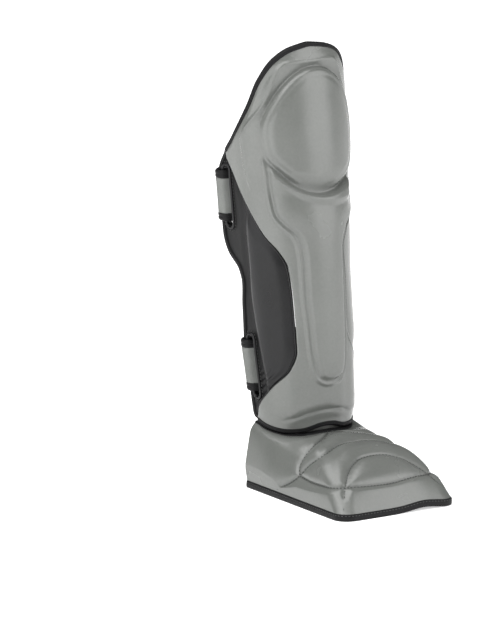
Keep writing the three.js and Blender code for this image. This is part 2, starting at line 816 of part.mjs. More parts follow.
// Rim: a flat-footed strip under the whole lower edge
function instepRim() {
  const sections = [];
  for (let i = 0; i <= INSTEP_COLUMNS; i += 1) {
    const side = (2 * i) / INSTEP_COLUMNS - 1;
    const sign = Math.sign(side);
    const outer = rimPlan(Math.abs(side), -TAPE_PROUD);
    const under = rimPlan(Math.abs(side), INSTEP_WALL + TAPE_PROUD);
    const corner = (plan, z) => new THREE.Vector3(sign * plan.x, plan.y, z);
    sections.push([corner(outer, 0), corner(outer, RIM_HEIGHT), corner(under, RIM_HEIGHT), corner(under, 0)]);
  }
  return band(sections, false);
}

function collarEdge() {
  const sides = [...Array(INSTEP_COLUMNS + 1).keys()].map((i) => 1 - (2 * i) / INSTEP_COLUMNS);
  return sides.map((side) => ({ face: instepAt(side, 0, true), back: instepAt(side, 0, false) }));
}

piece('instep_shell', instepShell(), GREY);
piece('instep_rim', instepRim(), TAPE);
piece('collar_binding', tape(collarEdge(), COLLAR_TAPE, false), TAPE);

// Ankle joints: a tab in front and an elastic at each back corner, all inside the bound edges
function ankleLink(from, to, columns, lap, thick) {
  const at = (out) => (i, j) => {
    const turn = THREE.MathUtils.lerp(from, to, i);
    const low = collarLevel(turn) - lap;
    const high = hemLevel(turn) + lap;
    return skin(turn, THREE.MathUtils.lerp(low, high, j), out);
  };
  return sheet(columns, 4, at(-LINING), at(-LINING - thick));
}

piece('ankle_hinge', ankleLink(-HINGE_TURN, HINGE_TURN, 10, HINGE_LAP, HINGE_THICK), GREY);
for (const { name, sign } of [{ name: 'panel_side', sign: -1 }, { name: 'wing_side', sign: 1 }]) {
  const turn = SIDE_TURN + ELASTIC_SETBACK / PACE;
  const link = ankleLink(sign * turn, sign * (turn + ELASTIC_WIDTH / PACE), 2, HINGE_LAP, ELASTIC_THICK);
  piece(`ankle_elastic_${name}`, link, TAPE);
}

// The origin lies on the floor, under the middle of the outline
const outline = new THREE.Box3().setFromObject(guard);
const middle = outline.getCenter(new THREE.Vector3());
guard.position.set(-middle.x, -middle.y, -outline.min.z);

export default guard;
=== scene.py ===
"""Shin and instep guard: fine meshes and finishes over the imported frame."""
import json
import logging
import math
from dataclasses import dataclass, field
from enum import Enum
from typing import Callable, Sequence

import bmesh
import bpy
import numpy as np
from mathutils import Matrix, Vector

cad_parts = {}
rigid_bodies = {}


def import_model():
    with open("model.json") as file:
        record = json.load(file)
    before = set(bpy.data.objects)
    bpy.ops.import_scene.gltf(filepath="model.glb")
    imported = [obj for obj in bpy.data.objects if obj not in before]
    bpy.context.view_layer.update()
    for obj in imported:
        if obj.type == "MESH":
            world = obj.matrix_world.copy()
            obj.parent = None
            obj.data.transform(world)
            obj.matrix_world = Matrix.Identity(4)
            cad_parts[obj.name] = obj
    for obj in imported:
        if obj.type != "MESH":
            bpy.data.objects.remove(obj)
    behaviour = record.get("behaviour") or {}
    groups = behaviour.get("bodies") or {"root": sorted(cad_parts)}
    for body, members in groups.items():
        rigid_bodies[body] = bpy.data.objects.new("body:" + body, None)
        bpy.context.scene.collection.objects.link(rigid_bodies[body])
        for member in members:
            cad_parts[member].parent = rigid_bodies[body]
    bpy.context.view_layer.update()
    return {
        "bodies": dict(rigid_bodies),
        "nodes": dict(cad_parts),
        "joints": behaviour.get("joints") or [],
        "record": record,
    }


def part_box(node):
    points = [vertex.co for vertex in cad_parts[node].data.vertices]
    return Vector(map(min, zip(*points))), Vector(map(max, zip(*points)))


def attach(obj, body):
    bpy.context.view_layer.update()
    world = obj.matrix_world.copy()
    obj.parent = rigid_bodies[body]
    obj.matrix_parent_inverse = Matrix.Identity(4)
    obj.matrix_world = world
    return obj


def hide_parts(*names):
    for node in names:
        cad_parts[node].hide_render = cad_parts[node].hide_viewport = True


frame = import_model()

MM = 0.001
log = logging.getLogger("guard")
# Painted shade: the colour laid on the black panel's flap behind its fold, where the leather turns away from the
# lamps.
FLAP_SHADE_COLOUR = "070708"
FLAP_ROUGHNESS = 0.5

Array = np.ndarray
Tree = bpy.types.NodeTree
Socket = bpy.types.NodeSocket
Rows = Sequence[tuple[float, float]]
Mapping = Callable[[Array, Array], Array]


# ---------------------------------------------------------------- lines and grids

def ramp(value: Array, width: float) -> Array:
    """Rise smoothly from 0 to 1 while value goes from 0 to width."""
    t = np.clip(value / width, 0.0, 1.0)
    return t * t * (3.0 - 2.0 * t)


def ridge(value: Array, middle: float, width: float) -> Array:
    """Give a smooth ridge across value, 1 at its middle."""
    return np.exp(-((value - middle) / width) ** 2)


def lerp(a: Array, b: Array, t: Array) -> Array:
    """Blend a into b."""
    return a + (b - a) * t


def unit(vectors: Array) -> Array:
    """Bring each row to length one."""
    return vectors / np.maximum(np.linalg.norm(vectors, axis=-1, keepdims=True), 1e-9)


def hex_colour(code: str) -> tuple[float, float, float, float]:
    """Turn an sRGB hex code into a linear colour.

    Args:
        code: six hex digits, such as "9b9d9a".

    Returns:
        Linear red, green, blue and alpha.
    """
    parts = [int(code[i:i + 2], 16) / 255 for i in (0, 2, 4)]
    linear = [p / 12.92 if p <= 0.04045 else ((p + 0.055) / 1.055) ** 2.4 for p in parts]
    return (linear[0], linear[1], linear[2], 1.0)


class Track:
    """A smooth line through a table's rows that never swings past them."""

    def __init__(self, rows: Rows) -> None:
        """Work out the slopes at the rows.

        Args:
            rows: pairs of place and value, in rising order of place.
        """
        self.x = np.array([row[0] for row in rows], float)
        self.y = np.array([row[1] for row in rows], float)
        rise = np.diff(self.y) / np.diff(self.x)
        before = np.concatenate([rise[:1], rise])
        after = np.concatenate([rise, rise[-1:]])
        same = before * after > 0
        total = np.where(same, before + after, 1.0)
        self.slope = np.where(same, 2 * before * after / total, 0.0)

    def __call__(self, at: Array) -> Array:
        """Read the line at each place."""
        where = np.clip(at, self.x[0], self.x[-1])
        i = np.clip(np.searchsorted(self.x, where, side="left") - 1, 0, len(self.x) - 2)
        span = self.x[i + 1] - self.x[i]
        t = (where - self.x[i]) / span
        ends = self.y[i] * (1 + 2 * t) * (1 - t) ** 2 + self.y[i + 1] * t * t * (3 - 2 * t)
        return ends + span * (self.slope[i] * t * (1 - t) ** 2 - self.slope[i + 1] * t * t * (1 - t))


def curve_through(points: Array, count: int, closed: bool = False) -> Array:
    """Lay a centripetal spline through points.

    Args:
        points: the points, one a row.
        count: stretches between the returned points.
        closed: joins the last point to the first.

    Returns:
        count + 1 points on the spline.
    """
    if closed:
        ends = np.vstack([points[-1:], points, points[:2]])
        stretches = len(points)
    else:
        ends = np.vstack([2 * points[:1] - points[1:2], points, 2 * points[-1:] - points[-2:-1]])
        stretches = len(points) - 1
    at = np.linspace(0, stretches, count + 1)
    i = np.minimum(at.astype(int), stretches - 1)
    t = (at - i)[:, None]
    p0, p1, p2, p3 = (ends[i + k] for k in range(4))
    d0, d1, d2 = (np.maximum(np.linalg.norm(b - a, axis=1)[:, None] ** 0.5, 1e-4)
                  for a, b in ((p0, p1), (p1, p2), (p2, p3)))
    m1 = ((p1 - p0) / d0 - (p2 - p0) / (d0 + d1) + (p2 - p1) / d1) * d1
    m2 = ((p2 - p1) / d1 - (p3 - p1) / (d1 + d2) + (p3 - p2) / d2) * d1
    c2 = -3 * p1 + 3 * p2 - 2 * m1 - m2
    c3 = 2 * p1 - 2 * p2 + m1 + m2
    return p1 + m1 * t + c2 * t ** 2 + c3 * t ** 3


def run_along(points: Array) -> Array:
    """Give each point's run from the line's start."""
    return np.concatenate([[0.0], np.cumsum(np.linalg.norm(np.diff(points, axis=0), axis=1))])


def walk(points: Array, count: int) -> Array:
    """Walk a line in a set number of even steps."""
    run = run_along(points)
    at = np.linspace(0, run[-1], count + 1)
    return np.stack([np.interp(at, run, points[:, k]) for k in range(points.shape[1])], axis=1)


def even_steps(points: Array, pitch: float) -> Array:
    """Walk a line in even steps.

    Args:
        points: the line's points.
        pitch: length of a step.

    Returns:
        Points on the line, about a pitch apart.
    """
    return walk(points, max(int(round(run_along(points)[-1] / pitch)), 2))


def looped(points: Array) -> Array:
    """Repeat a ring's first row at its end."""
    return np.concatenate([points, points[:1]])


def rolled(radius: float, gap: Array) -> Array:
    """Give how far a rounded edge has dropped, a gap away from its end."""
    return radius - np.sqrt(np.maximum(radius ** 2 - np.maximum(radius - gap, 0) ** 2, 0))


def near_line(points: Array, line: Array) -> tuple[Array, Array]:
    """Find how far points are from a line, and where along it.

    Args:
        points: points, one a row.
        line: the line's points, with as many columns.

    Returns:
        The distances, and the run along the line to the nearest place.
    """
    best = np.full(len(points), np.inf)
    where = np.zeros(len(points))
    run = 0.0
    for a, b in zip(line[:-1], line[1:]):
        d = b - a
        length = float(np.linalg.norm(d))
        if length < 1e-9:
            continue
        t = np.clip(((points - a) @ d) / length ** 2, 0, 1)
        gap = np.linalg.norm(points - a - t[:, None] * d, axis=1)
        closer = gap < best
        best[closer] = gap[closer]
        where[closer] = run + t[closer] * length
        run += length
    return best, where


def inset(outline: Array, x: Array, z: Array) -> Array:
    """Measure the distance to a closed outline, above zero inside it."""
    points = np.stack([x, z], axis=1)
    near, _ = near_line(points, outline)
    inside = np.zeros(len(x), bool)
    for a, b in zip(outline[:-1], outline[1:]):
        if a[1] == b[1]:
            continue
        cuts = ((a[1] > z) != (b[1] > z)) & (x < a[0] + (b[0] - a[0]) * (z - a[1]) / (b[1] - a[1]))
        inside ^= cuts
    return np.where(inside, near, -near)


# ---------------------------------------------------------------- finishes

def node(tree: Tree, kind: str, settings: dict, inputs: dict) -> bpy.types.Node:
    """Add a node, set it up and fill or link its inputs.

    Args:
        tree: the tree it goes into.
        kind: the node's type name.
        settings: attributes to set on the node.
        inputs: values or output sockets for its inputs, by name or number.

    Returns:
        The new node.
    """
    made = tree.nodes.new(kind)
    for key, value in settings.items():
        setattr(made, key, value)
    for key, value in inputs.items():
        if isinstance(value, Socket):
            tree.links.new(value, made.inputs[key])
        else:
            made.inputs[key].default_value = value
    return made


def new_material(name: str) -> tuple[bpy.types.Material, Tree]:
    """Make a material with only its output node."""
    material = bpy.data.materials.new(name)
    material.use_nodes = True
    tree = material.node_tree
    tree.nodes.clear()
    return material, tree


def mix_colours(tree: Tree, share: Socket, under: Socket | str,
                over: str) -> Socket:
    """Lay a hex colour over another colour by a share."""
    below = hex_colour(under) if isinstance(under, str) else under
    return node(tree, "ShaderNodeMix", {"data_type": "RGBA"}, {0: share, 6: below, 7: hex_colour(over)}).outputs[2]


def math_node(tree: Tree, operation: str, first: object, second: object) -> Socket:
    """Do one sum on two values or sockets."""
    return node(tree, "ShaderNodeMath", {"operation": operation}, {0: first, 1: second}).outputs[0]


def object_place(tree: Tree) -> Socket:
    """Give the place on the object, in metres."""
    return node(tree, "ShaderNodeTexCoord", {}, {}).outputs["Object"]


def noise(tree: Tree, place: Socket, scale: float, detail: float,
          **more: float) -> Socket:
    """Give a cloudy value; more names further inputs of the noise."""
    return node(tree, "ShaderNodeTexNoise", {}, {"Vector": place, "Scale": scale, "Detail": detail, **more}).outputs[0]


def stretch(tree: Tree, value: Socket, source: tuple[float, float],
            target: tuple[float, float] = (0.0, 1.0)) -> Socket:
    """Stretch the source range of a value to the target range."""
    return node(tree, "ShaderNodeMapRange", {}, {"Value": value, "From Min": source[0], "From Max": source[1],
                                                 "To Min": target[0], "To Max": target[1]}).outputs[0]


def attribute(tree: Tree, name: str) -> Socket:
    """Give a share that the mesh keeps under a name."""
    return node(tree, "ShaderNodeAttribute", {"attribute_name": name}, {}).outputs["Fac"]


def surface(tree: Tree, inputs: dict) -> None:
    """End a material with its shader."""
    shader = node(tree, "ShaderNodeBsdfPrincipled", {}, inputs)
    node(tree, "ShaderNodeOutputMaterial", {}, {"Surface": shader.outputs[0]})


@dataclass(frozen=True)
class Thread:
    """A kind of stitching: its pitch, the part of it that shows, and the thread's thickness."""

    pitch: float
    share: float = 0.62
    wide: float = 0.75


class Sewing(Enum):
    """Every kind of stitching on the guard."""

    SEAM = Thread(2.7, 0.6, 0.7)
    STRAP = Thread(2.2, 0.6, 0.6)
    SLOT = Thread(3.0)
    RIM = Thread(3.4)
    QUILT = Thread(3.4, 0.6, 0.8)


@dataclass(frozen=True)
class Leather:
    """Grained synthetic leather.

    Attributes:
        name: name of the material.
        dark: colour in the low places of its clouding.
        light: colour in the high places.
        rough: lowest and highest roughness.
        grain_mm: size of a pebble of the grain.
        grain_depth: strength of the grain's bump.
        crease_depth: strength of the broad creasing.
        edge: colour that shows through along rubbed edges.
        gloss: strength of its shine.
    """

    name: str
    dark: str
    light: str
    rough: tuple[float, float]
    grain_mm: float
    grain_depth: float
    crease_depth: float
    edge: str
    gloss: float

    def material(self) -> bpy.types.Material:
        """Build the material."""
        material, tree = new_material(self.name)
        place = object_place(tree)
        cloud = noise(tree, place, 14.0, 4.0, Roughness=0.55)
        fleck = noise(tree, place, 420.0, 2.0)
        tone = math_node(tree, "ADD", math_node(tree, "MULTIPLY", cloud, 0.7), math_node(tree, "MULTIPLY", fleck, 0.3))
        colour = mix_colours(tree, stretch(tree, tone, (0.36, 0.64)), self.dark, self.light)
        rubbed = math_node(tree, "MULTIPLY", attribute(tree, "rub"), noise(tree, place, 130.0, 3.0))
        colour = mix_colours(tree, rubbed, colour, self.edge)
        # Painted shade: the flap mark darkens the black panel's flap behind its fold, and also makes it rougher.
        flap = attribute(tree, "flap")
        colour = mix_colours(tree, flap, colour, FLAP_SHADE_COLOUR)
        soft = stretch(tree, cloud, (0.3, 0.7), self.rough)
        matt = math_node(tree, "MAXIMUM", soft, math_node(tree, "MULTIPLY", flap, FLAP_ROUGHNESS))
        cells = node(tree, "ShaderNodeTexVoronoi", {"feature": "DISTANCE_TO_EDGE"},
                     {"Vector": place, "Scale": 1 / (self.grain_mm * MM), "Randomness": 1.0})
        pebble = stretch(tree, cells.outputs["Distance"], (0.0, 0.16))
        crease = noise(tree, place, 95.0, 5.0, Roughness=0.6, Distortion=0.6)
        broad = node(tree, "ShaderNodeBump", {}, {"Strength": self.crease_depth, "Distance": 0.0012, "Height": crease})
        fine = node(tree, "ShaderNodeBump", {}, {"Strength": self.grain_depth, "Distance": 0.00025,
                                                "Height": pebble, "Normal": broad.outputs[0]})
        surface(tree, {"Base Color": colour, "Roughness": matt, "Normal": fine.outputs[0],
                       "Specular IOR Level": self.gloss})
        return material


@dataclass(frozen=True)
class Weave:
    """Woven tape, webbing or lining, laid out on the piece's own UV map in metres.

    Attributes:
        name: name of the material.
        low: colour between the threads.
        high: colour on the threads.
        rough: roughness.
        along_mm: pitch of the threads that cross the length.
        across_mm: pitch of the threads that run with the length.
        depth: strength of the bump.
        sheen: sheen weight.
    """

    name: str
    low: str
    high: str
    rough: float
    along_mm: float
    across_mm: float
    depth: float
    sheen: float

    def material(self) -> bpy.types.Material:
        """Build the material."""
        material, tree = new_material(self.name)
        flat = node(tree, "ShaderNodeUVMap", {"uv_map": "flat"}, {}).outputs[0]
        parts = node(tree, "ShaderNodeSeparateXYZ", {}, {0: flat})
        pitches = (self.along_mm, self.across_mm)
        warp, weft = (self.wave(tree, part, pitch) for part, pitch in zip(parts.outputs, pitches))
        cross = math_node(tree, "MULTIPLY", warp, weft)
        place = object_place(tree)
        fuzz = noise(tree, place, 1500.0, 2.0)
        cloud = noise(tree, place, 45.0, 3.0)
        height = math_node(tree, "ADD", math_node(tree, "MULTIPLY", cross, 0.5), fuzz)
        tone = math_node(tree, "ADD", math_node(tree, "MULTIPLY", height, 0.45),
                         math_node(tree, "MULTIPLY", cloud, 0.55))
        colour = mix_colours(tree, stretch(tree, tone, (0.25, 0.75)), self.low, self.high)
        bump = node(tree, "ShaderNodeBump", {}, {"Strength": self.depth, "Distance": 0.0004, "Height": height})
        surface(tree, {"Base Color": colour, "Roughness": self.rough, "Normal": bump.outputs[0],
                       "Sheen Weight": self.sheen, "Specular IOR Level": 0.18})
        return material

    def wave(self, tree: Tree, place: Socket, pitch: float) -> Socket:
        """Give the rise and fall of threads, pitch millimetres apart."""
        return math_node(tree, "SINE", math_node(tree, "MULTIPLY", place, 2 * math.pi / (pitch * MM)), 0.0)


@dataclass(frozen=True)
class Plain:
    """Thread: one colour with a little clouding."""

    name: str
    low: str
    high: str
    rough: float
    scale: float

    def material(self) -> bpy.types.Material:
        """Build the material."""
        material, tree = new_material(self.name)
        cloud = noise(tree, object_place(tree), self.scale, 2.0)
        colour = mix_colours(tree, cloud, self.low, self.high)
        surface(tree, {"Base Color": colour, "Roughness": self.rough, "Specular IOR Level": 0.25})
        return material


@dataclass(frozen=True)
class Glow:
    """The pale floor, lit from under as on a light table, more so far from the guard."""

    name: str
    colour: str
    near: float
    far: float

    def material(self) -> bpy.types.Material:
        """Build the material."""
        material, tree = new_material(self.name)
        away = node(tree, "ShaderNodeVectorMath", {"operation": "LENGTH"}, {0: object_place(tree)}).outputs["Value"]
        surface(tree, {"Base Color": hex_colour(self.colour), "Roughness": 0.95, "Specular IOR Level": 0.0,
                       "Emission Color": (1.0, 1.0, 1.0, 1.0),
                       "Emission Strength": stretch(tree, away, (0.4, 1.6), (self.near, self.far))})
        return material


class Finish(Enum):
    """Every finish of the guard, by the surface it covers."""

    GREY = Leather("grey_leather", "5f615e", "666865", (0.22, 0.29), 0.9, 0.08, 0.04, "a4a6a3", 0.65)
    BLACK = Leather("black_leather", "0b0b0c", "121214", (0.26, 0.34), 0.9, 0.14, 0.16, "4a4a4c", 0.3)
    TAPE = Weave("binding_weave", "0c0c0d", "171718", 0.5, 0.9, 0.9, 0.35, 0.0)
    ELASTIC = Weave("elastic_webbing", "656765", "7d7f7c", 0.7, 1.3, 0.7, 0.5, 0.0)
    LINING = Weave("lining_cloth", "2a2a2c", "3c3c3f", 0.85, 1.4, 1.4, 0.5, 0.2)
    DARK_THREAD = Plain("dark_thread", "343534", "4a4b4a", 0.6, 900.0)
    FLOOR = Glow("studio_floor", "f4f4f4", 0.5, 1.0)


class Wardrobe:
    """Keeps one material for each finish."""

    made: dict[Finish, bpy.types.Material] = {}

    @classmethod
    def of(cls, finish: Finish) -> bpy.types.Material:
        """Give the material of a finish, built once."""
        if finish not in cls.made:
            cls.made[finish] = finish.value.material()
        return cls.made[finish]


# ---------------------------------------------------------------- mesh making

def rim_shift() -> Array:
    """Read where the frame put the leg's own origin, in millimetres."""
    low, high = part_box("instep_rim")
    middle = (low[0] + high[0]) / 2 / MM
    front = low[1] / MM
    return np.array([middle, front - Instep.rim_front(), 0.0])


def to_object(mesh: bpy.types.Mesh, finish: Finish) -> bpy.types.Object:
    """Make a smooth-shaded object of a mesh, under the mesh's name.

    Args:
        mesh: the mesh, in the shared frame.
        finish: what covers it.

    Returns:
        The new object.
    """
    piece = bpy.data.objects.new(mesh.name, mesh)
    bpy.context.scene.collection.objects.link(piece)
    mesh.materials.append(Wardrobe.of(finish))
    mesh.shade_smooth()
    return piece


def declare(piece: bpy.types.Object, slot: str, nodes: Sequence[str] = ()) -> bpy.types.Object:
    """Hang a piece on the frame's root, hide the frame parts it stands for, and log its faces."""
    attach(piece, "root")
    if nodes:
        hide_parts(*nodes)
    log.info("%s: %d faces", piece.name, len(piece.data.polygons))
    return piece


def dress(mesh: bpy.types.Mesh, finish: Finish, slot: str, nodes: Sequence[str] = ()) -> bpy.types.Object:
    return declare(to_object(mesh, finish), slot, nodes)


class Forge:
    """Builds meshes from mappings in the leg's millimetres."""

    shift = np.zeros(3)

    @classmethod
    def metres(cls, points: Array) -> Array:
        """Bring points from the leg's millimetres into the shared frame."""
        return (points + cls.shift) * MM

    @staticmethod
    def to_mesh(name: str, bm: bmesh.types.BMesh) -> bpy.types.Mesh:
        """Turn a working mesh into a mesh, and free it."""
        mesh = bpy.data.meshes.new(name)
        bm.to_mesh(mesh)
        bm.free()
        return mesh

    @staticmethod
    def places(mesh: bpy.types.Mesh) -> Array:
        """Read where a mesh's vertices are."""
        co = np.empty(len(mesh.vertices) * 3)
        mesh.vertices.foreach_get("co", co)
        return co.reshape(-1, 3)

    @classmethod
    def place(cls, mesh: bpy.types.Mesh, points: Array) -> None:
        """Put a mesh's vertices at points in the leg's millimetres."""
        mesh.vertices.foreach_set("co", cls.metres(points).astype(np.float32).ravel())

    @classmethod
    def patch(cls, name: str, columns: int, rows: int, outer: Mapping, inner: Mapping | None = None,
              flat: Mapping | None = None, marks: dict[str, Mapping] | None = None) -> bpy.types.Mesh:
        """Make a sheet, or a closed sheet with two faces.

        Args:
            name: name of the mesh.
            columns: faces across.
            rows: faces upward.
            outer: gives points of the outer face for shares across and upward.
            inner: gives points of the inner face, or nothing for an open sheet.
            flat: gives the cloth's own flat place in metres, for the weave.
            marks: named shares to keep at each place, for the finish.

        Returns:
            The mesh.
        """
        bm = bmesh.new()
        bmesh.ops.create_grid(bm, x_segments=columns, y_segments=rows, size=0.5)
        if inner is not None:
            grown = bmesh.ops.extrude_face_region(bm, geom=bm.faces[:], use_keep_orig=True)
            fresh = [g for g in grown["geom"] if isinstance(g, bmesh.types.BMVert)]
            bmesh.ops.translate(bm, verts=fresh, vec=(0, 0, 1))
        mesh = cls.to_mesh(name, bm)
        co = cls.places(mesh)
        across = np.round(np.clip(co[:, 0] + 0.5, 0, 1), 6)
        upward = np.round(np.clip(co[:, 1] + 0.5, 0, 1), 6)
        deep = co[:, 2] > 0.5
        points = outer(across, upward)
        if inner is not None:
            points = np.where(deep[:, None], inner(across, upward), points)
        cls.place(mesh, points)
        if flat is not None:
            cls.add_flat(mesh, flat(across, upward))
        for mark, read in (marks or {}).items():
            layer = mesh.attributes.new(mark, "FLOAT", "POINT")
            layer.data.foreach_set("value", np.where(deep, 0.0, read(across, upward)).astype(np.float32))
        cls.close(mesh)
        return mesh

    @classmethod
    def add_flat(cls, mesh: bpy.types.Mesh, places: Array) -> None:
        """Give each corner its place on the flat cloth, in metres."""
        corner = np.empty(len(mesh.loops), int)
        mesh.loops.foreach_get("vertex_index", corner)
        layer = mesh.uv_layers.new(name="flat")
        layer.uv.foreach_set("vector", places[corner].astype(np.float32).ravel())

    @classmethod
    def close(cls, mesh: bpy.types.Mesh) -> None:
        """Turn all faces of a mesh outward."""
        bm = bmesh.new()
        bm.from_mesh(mesh)
        bmesh.ops.recalc_face_normals(bm, faces=bm.faces[:])
        bm.to_mesh(mesh)
        bm.free()

    @classmethod
    def sweep(cls, name: str, sections: Array, joined: bool) -> bpy.types.Mesh:
        """Skin a row of like sections.

        Args:
            name: name of the mesh.
            sections: millimetres, by place along, corner, and axis.
            joined: joins the last section to the first, or else caps both ends.

        Returns:
            The mesh, with its flat layout in metres.
        """
        count, corners = sections.shape[:2]
        bm = bmesh.new()
        bmesh.ops.create_grid(bm, x_segments=count - (0 if joined else 1), y_segments=corners, size=0.5)
        mesh = cls.to_mesh(name, bm)
        co = cls.places(mesh)
        steps = count if joined else count - 1
        i = np.rint((co[:, 0] + 0.5) * steps).astype(int)
        k = np.rint((co[:, 1] + 0.5) * corners).astype(int)
        points = sections[i % count, k % corners]
        cls.place(mesh, points)
        loop = looped(sections) if joined else sections
        run = run_along(loop.mean(axis=1))
        girth = run_along(looped(sections[0]))
        cls.add_flat(mesh, np.stack([run[i], girth[k]], axis=1) * MM)
        bm = bmesh.new()
        bm.from_mesh(mesh)
        bmesh.ops.remove_doubles(bm, verts=bm.verts[:], dist=1e-6)
        if not joined:
            rims = [e for e in bm.edges if e.is_boundary]
            bmesh.ops.holes_fill(bm, edges=rims, sides=corners + 1)
        bmesh.ops.recalc_face_normals(bm, faces=bm.faces[:])
        bm.to_mesh(mesh)
        bm.free()
        return mesh

    @classmethod
    def stitches(cls, name: str, lines: Sequence[tuple[Array, Array]], sewing: Sewing) -> bpy.types.Mesh:
        """Lay a thread's stitches along lines.

        Args:
            name: name of the mesh.
            lines: each a line's points and its surface normals, in millimetres.
            sewing: the kind of stitching.

        Returns:
            The mesh of all the stitches.
        """
        thread = sewing.value
        bm = bmesh.new()
        for points, normals in lines:
            both = even_steps(np.hstack([points, normals]), thread.pitch)
            places, ups = both[:, :3], unit(both[:, 3:])
            for a, b, up in zip(places[:-1], places[1:], ups[:-1]):
                along = b - a
                length = float(np.linalg.norm(along))
                along = along / max(length, 1e-6)
                side = unit(np.cross(up, along))
                middle = cls.metres((a + b) / 2 + up * thread.wide * 0.18)
                half = [along * length * thread.share / 2 * MM, side * thread.wide / 2 * MM, up * thread.wide / 2 * MM]
                turn = Matrix([[*(h[r] for h in half), middle[r]] for r in range(3)] + [[0, 0, 0, 1]])
                bmesh.ops.create_uvsphere(bm, u_segments=8, v_segments=5, radius=1.0, matrix=turn)
        return cls.to_mesh(name, bm)


# ---------------------------------------------------------------- the leg

@dataclass
class Side:
    """One side of the shin part: its sign, wall, back edge, crown and seam."""

    sign: float
    wall: float
    filling: float
    edge: Track
    crown: Track
    seam: Track
    fill: Track


@dataclass
class Leg:
    """Lays the guard out on the skin of the leg, in millimetres and degrees."""

    height: float = 355.9
    hem: float = 61.6
    half_width: float = 50
    depth: float = 42
    front: float = 42
    calf_reach: float = 55
    crown_drop: float = 125
    hem_dip: float = 5.8
    flare: float = 0.1
    side_turn: float = 90
    pace: float = 0.8
    tape: float = 3.2
    seam_gap: float = 0.5
    hems: Track = field(default_factory=lambda: Track(
        [(0, .36), (12, .2), (22, -.17), (34, -.55), (50, -.65), (68, -.38), (84, .03), (100, .6), (115, 1.0)]))
    halves: Track = field(default_factory=lambda: Track(
        [(0, .77), (.12, .77), (.25, .81), (.39, .88), (.53, .94), (.64, .97), (.79, 1.02), (1, 1.10)]))
    deeps: Track = field(default_factory=lambda: Track(
        [(0, .86), (.12, .88), (.25, .91), (.39, .96), (.53, 1.0), (.64, 1.0), (.79, .98), (1, .94)]))
    fronts: Track = field(default_factory=lambda: Track(
        [(0, .98), (.12, .93), (.25, .86), (.39, .79), (.53, .68), (.64, .52), (.79, .36), (1, .14)]))
    panel: Side = field(default_factory=lambda: Side(
        -1, 5, 0,
        Track([(0, .14), (.08, .26), (.22, .41), (.30, .41), (.36, .38), (.40, .46), (.44, .72), (.48, .82),
               (.55, .86), (.64, .92)]),
        Track([(0, 0), (18, .03), (34, .10), (51, .25), (66, .45), (88, .66), (111, .82), (124, .93), (132, 1.05)]),
        Track([(0, 101), (.05, 88), (.10, 68), (.15, 45), (.20, 36.5), (.33, 37), (.42, 40), (.46, 48), (.50, 62),
               (.56, 77), (.64, 95), (.70, 112)]),
        Track([(0, 1), (1, 1)])))
    wing: Side = field(default_factory=lambda: Side(
        1, 6.3, 6.5,
        Track([(0, .16), (.04, .42), (.12, .62), (.23, .46), (.34, .29), (.41, .31), (.47, .58), (.53, 1.03),
               (.61, 1.22), (.68, 1.14)]),
        Track([(0, 0), (18, .025), (34, .07), (51, .18), (66, .38), (88, .64), (124, .85), (143, .98), (152, 1.12)]),
        Track([(0, 103), (.05, 97), (.14, 71), (.21, 42), (.25, 36), (.35, 33), (.46, 30), (.51, 38), (.58, 60),
               (.69, 80), (.77, 93)]),
        Track([(0, 0), (.04, .7), (.20, 1), (.30, .6), (.41, .25), (.60, .3), (.77, 0)])))

    def share(self, level: Array) -> Array:
        """Give the height above the hem as a share."""
        return (level - self.hem) / self.height

    def middle(self, up: Array) -> Array:
        """Give the leg's middle, front to back."""
        return self.depth * self.deeps(up) - self.front * self.fronts(up)

    def inner(self, turn: Array, level: Array) -> Array:
        """Give the inner face of the guard."""
        up = self.share(level)
        half = self.half_width * self.halves(up)
        deep = self.depth * self.deeps(up)
        round_ = np.radians(np.minimum(np.abs(turn), self.side_turn))
        back = np.maximum(np.abs(turn) - self.side_turn, 0) * self.pace
        x = np.sign(turn) * half * (np.sin(round_) + self.flare * (back / half) ** 2)
        return np.stack([x, self.middle(up) - deep * np.cos(round_) + back, level + 0 * turn], axis=-1)

    def outward(self, turn: Array, level: Array) -> Array:
        """Give the direction away from the leg."""
        across = self.inner(turn + 0.5, level) - self.inner(turn - 0.5, level)
        upward = self.inner(turn, level + 0.5) - self.inner(turn, level - 0.5)
        return unit(np.cross(across, upward))

    def skin(self, turn: Array, level: Array, out: Array) -> Array:
        """Give points some millimetres off the leg."""
        turn, level, out = np.broadcast_arrays(turn, level, out)
        return self.inner(turn, level) + self.outward(turn, level) * out[..., None]

    def by_side(self, turn: Array, read: Callable[[Side], Array]) -> Array:
        """Read a value from the side that each turn lies on."""
        return np.where(turn < 0, read(self.panel), read(self.wing))

    def crown_level(self, turn: Array) -> Array:
        """Give the height of the crown edge."""
        top = self.hem + self.height - self.tape
        return top - self.crown_drop * self.by_side(turn, lambda side: side.crown(np.abs(turn)))

    def hem_level(self, turn: Array) -> Array:
        """Give the height of the hem."""
        return self.hem + self.hem_dip * self.hems(np.abs(turn))

    def edge_turn(self, side: Side, level: Array) -> Array:
        """Give how far round a side reaches."""
        up = self.share(level)
        return self.side_turn + (self.calf_reach * side.edge(up) - self.middle(up)) / self.pace

    def seam_turn(self, side: Side, level: Array) -> Array:
        """Give how far round a side piece begins."""
        return side.seam(self.share(level)) + self.seam_gap / self.pace / 2

    def top_of(self, turn_at: Callable[[Array], Array], count: int) -> Array:
        """Find the crown over columns that lean."""
        low = np.full(count, float(self.hem))
        high = np.full(count, float(self.hem + self.height))
        for _ in range(30):
            level = (low + high) / 2
            under = level < self.crown_level(turn_at(level))
            low = np.where(under, level, low)
            high = np.where(under, high, level)
        return low

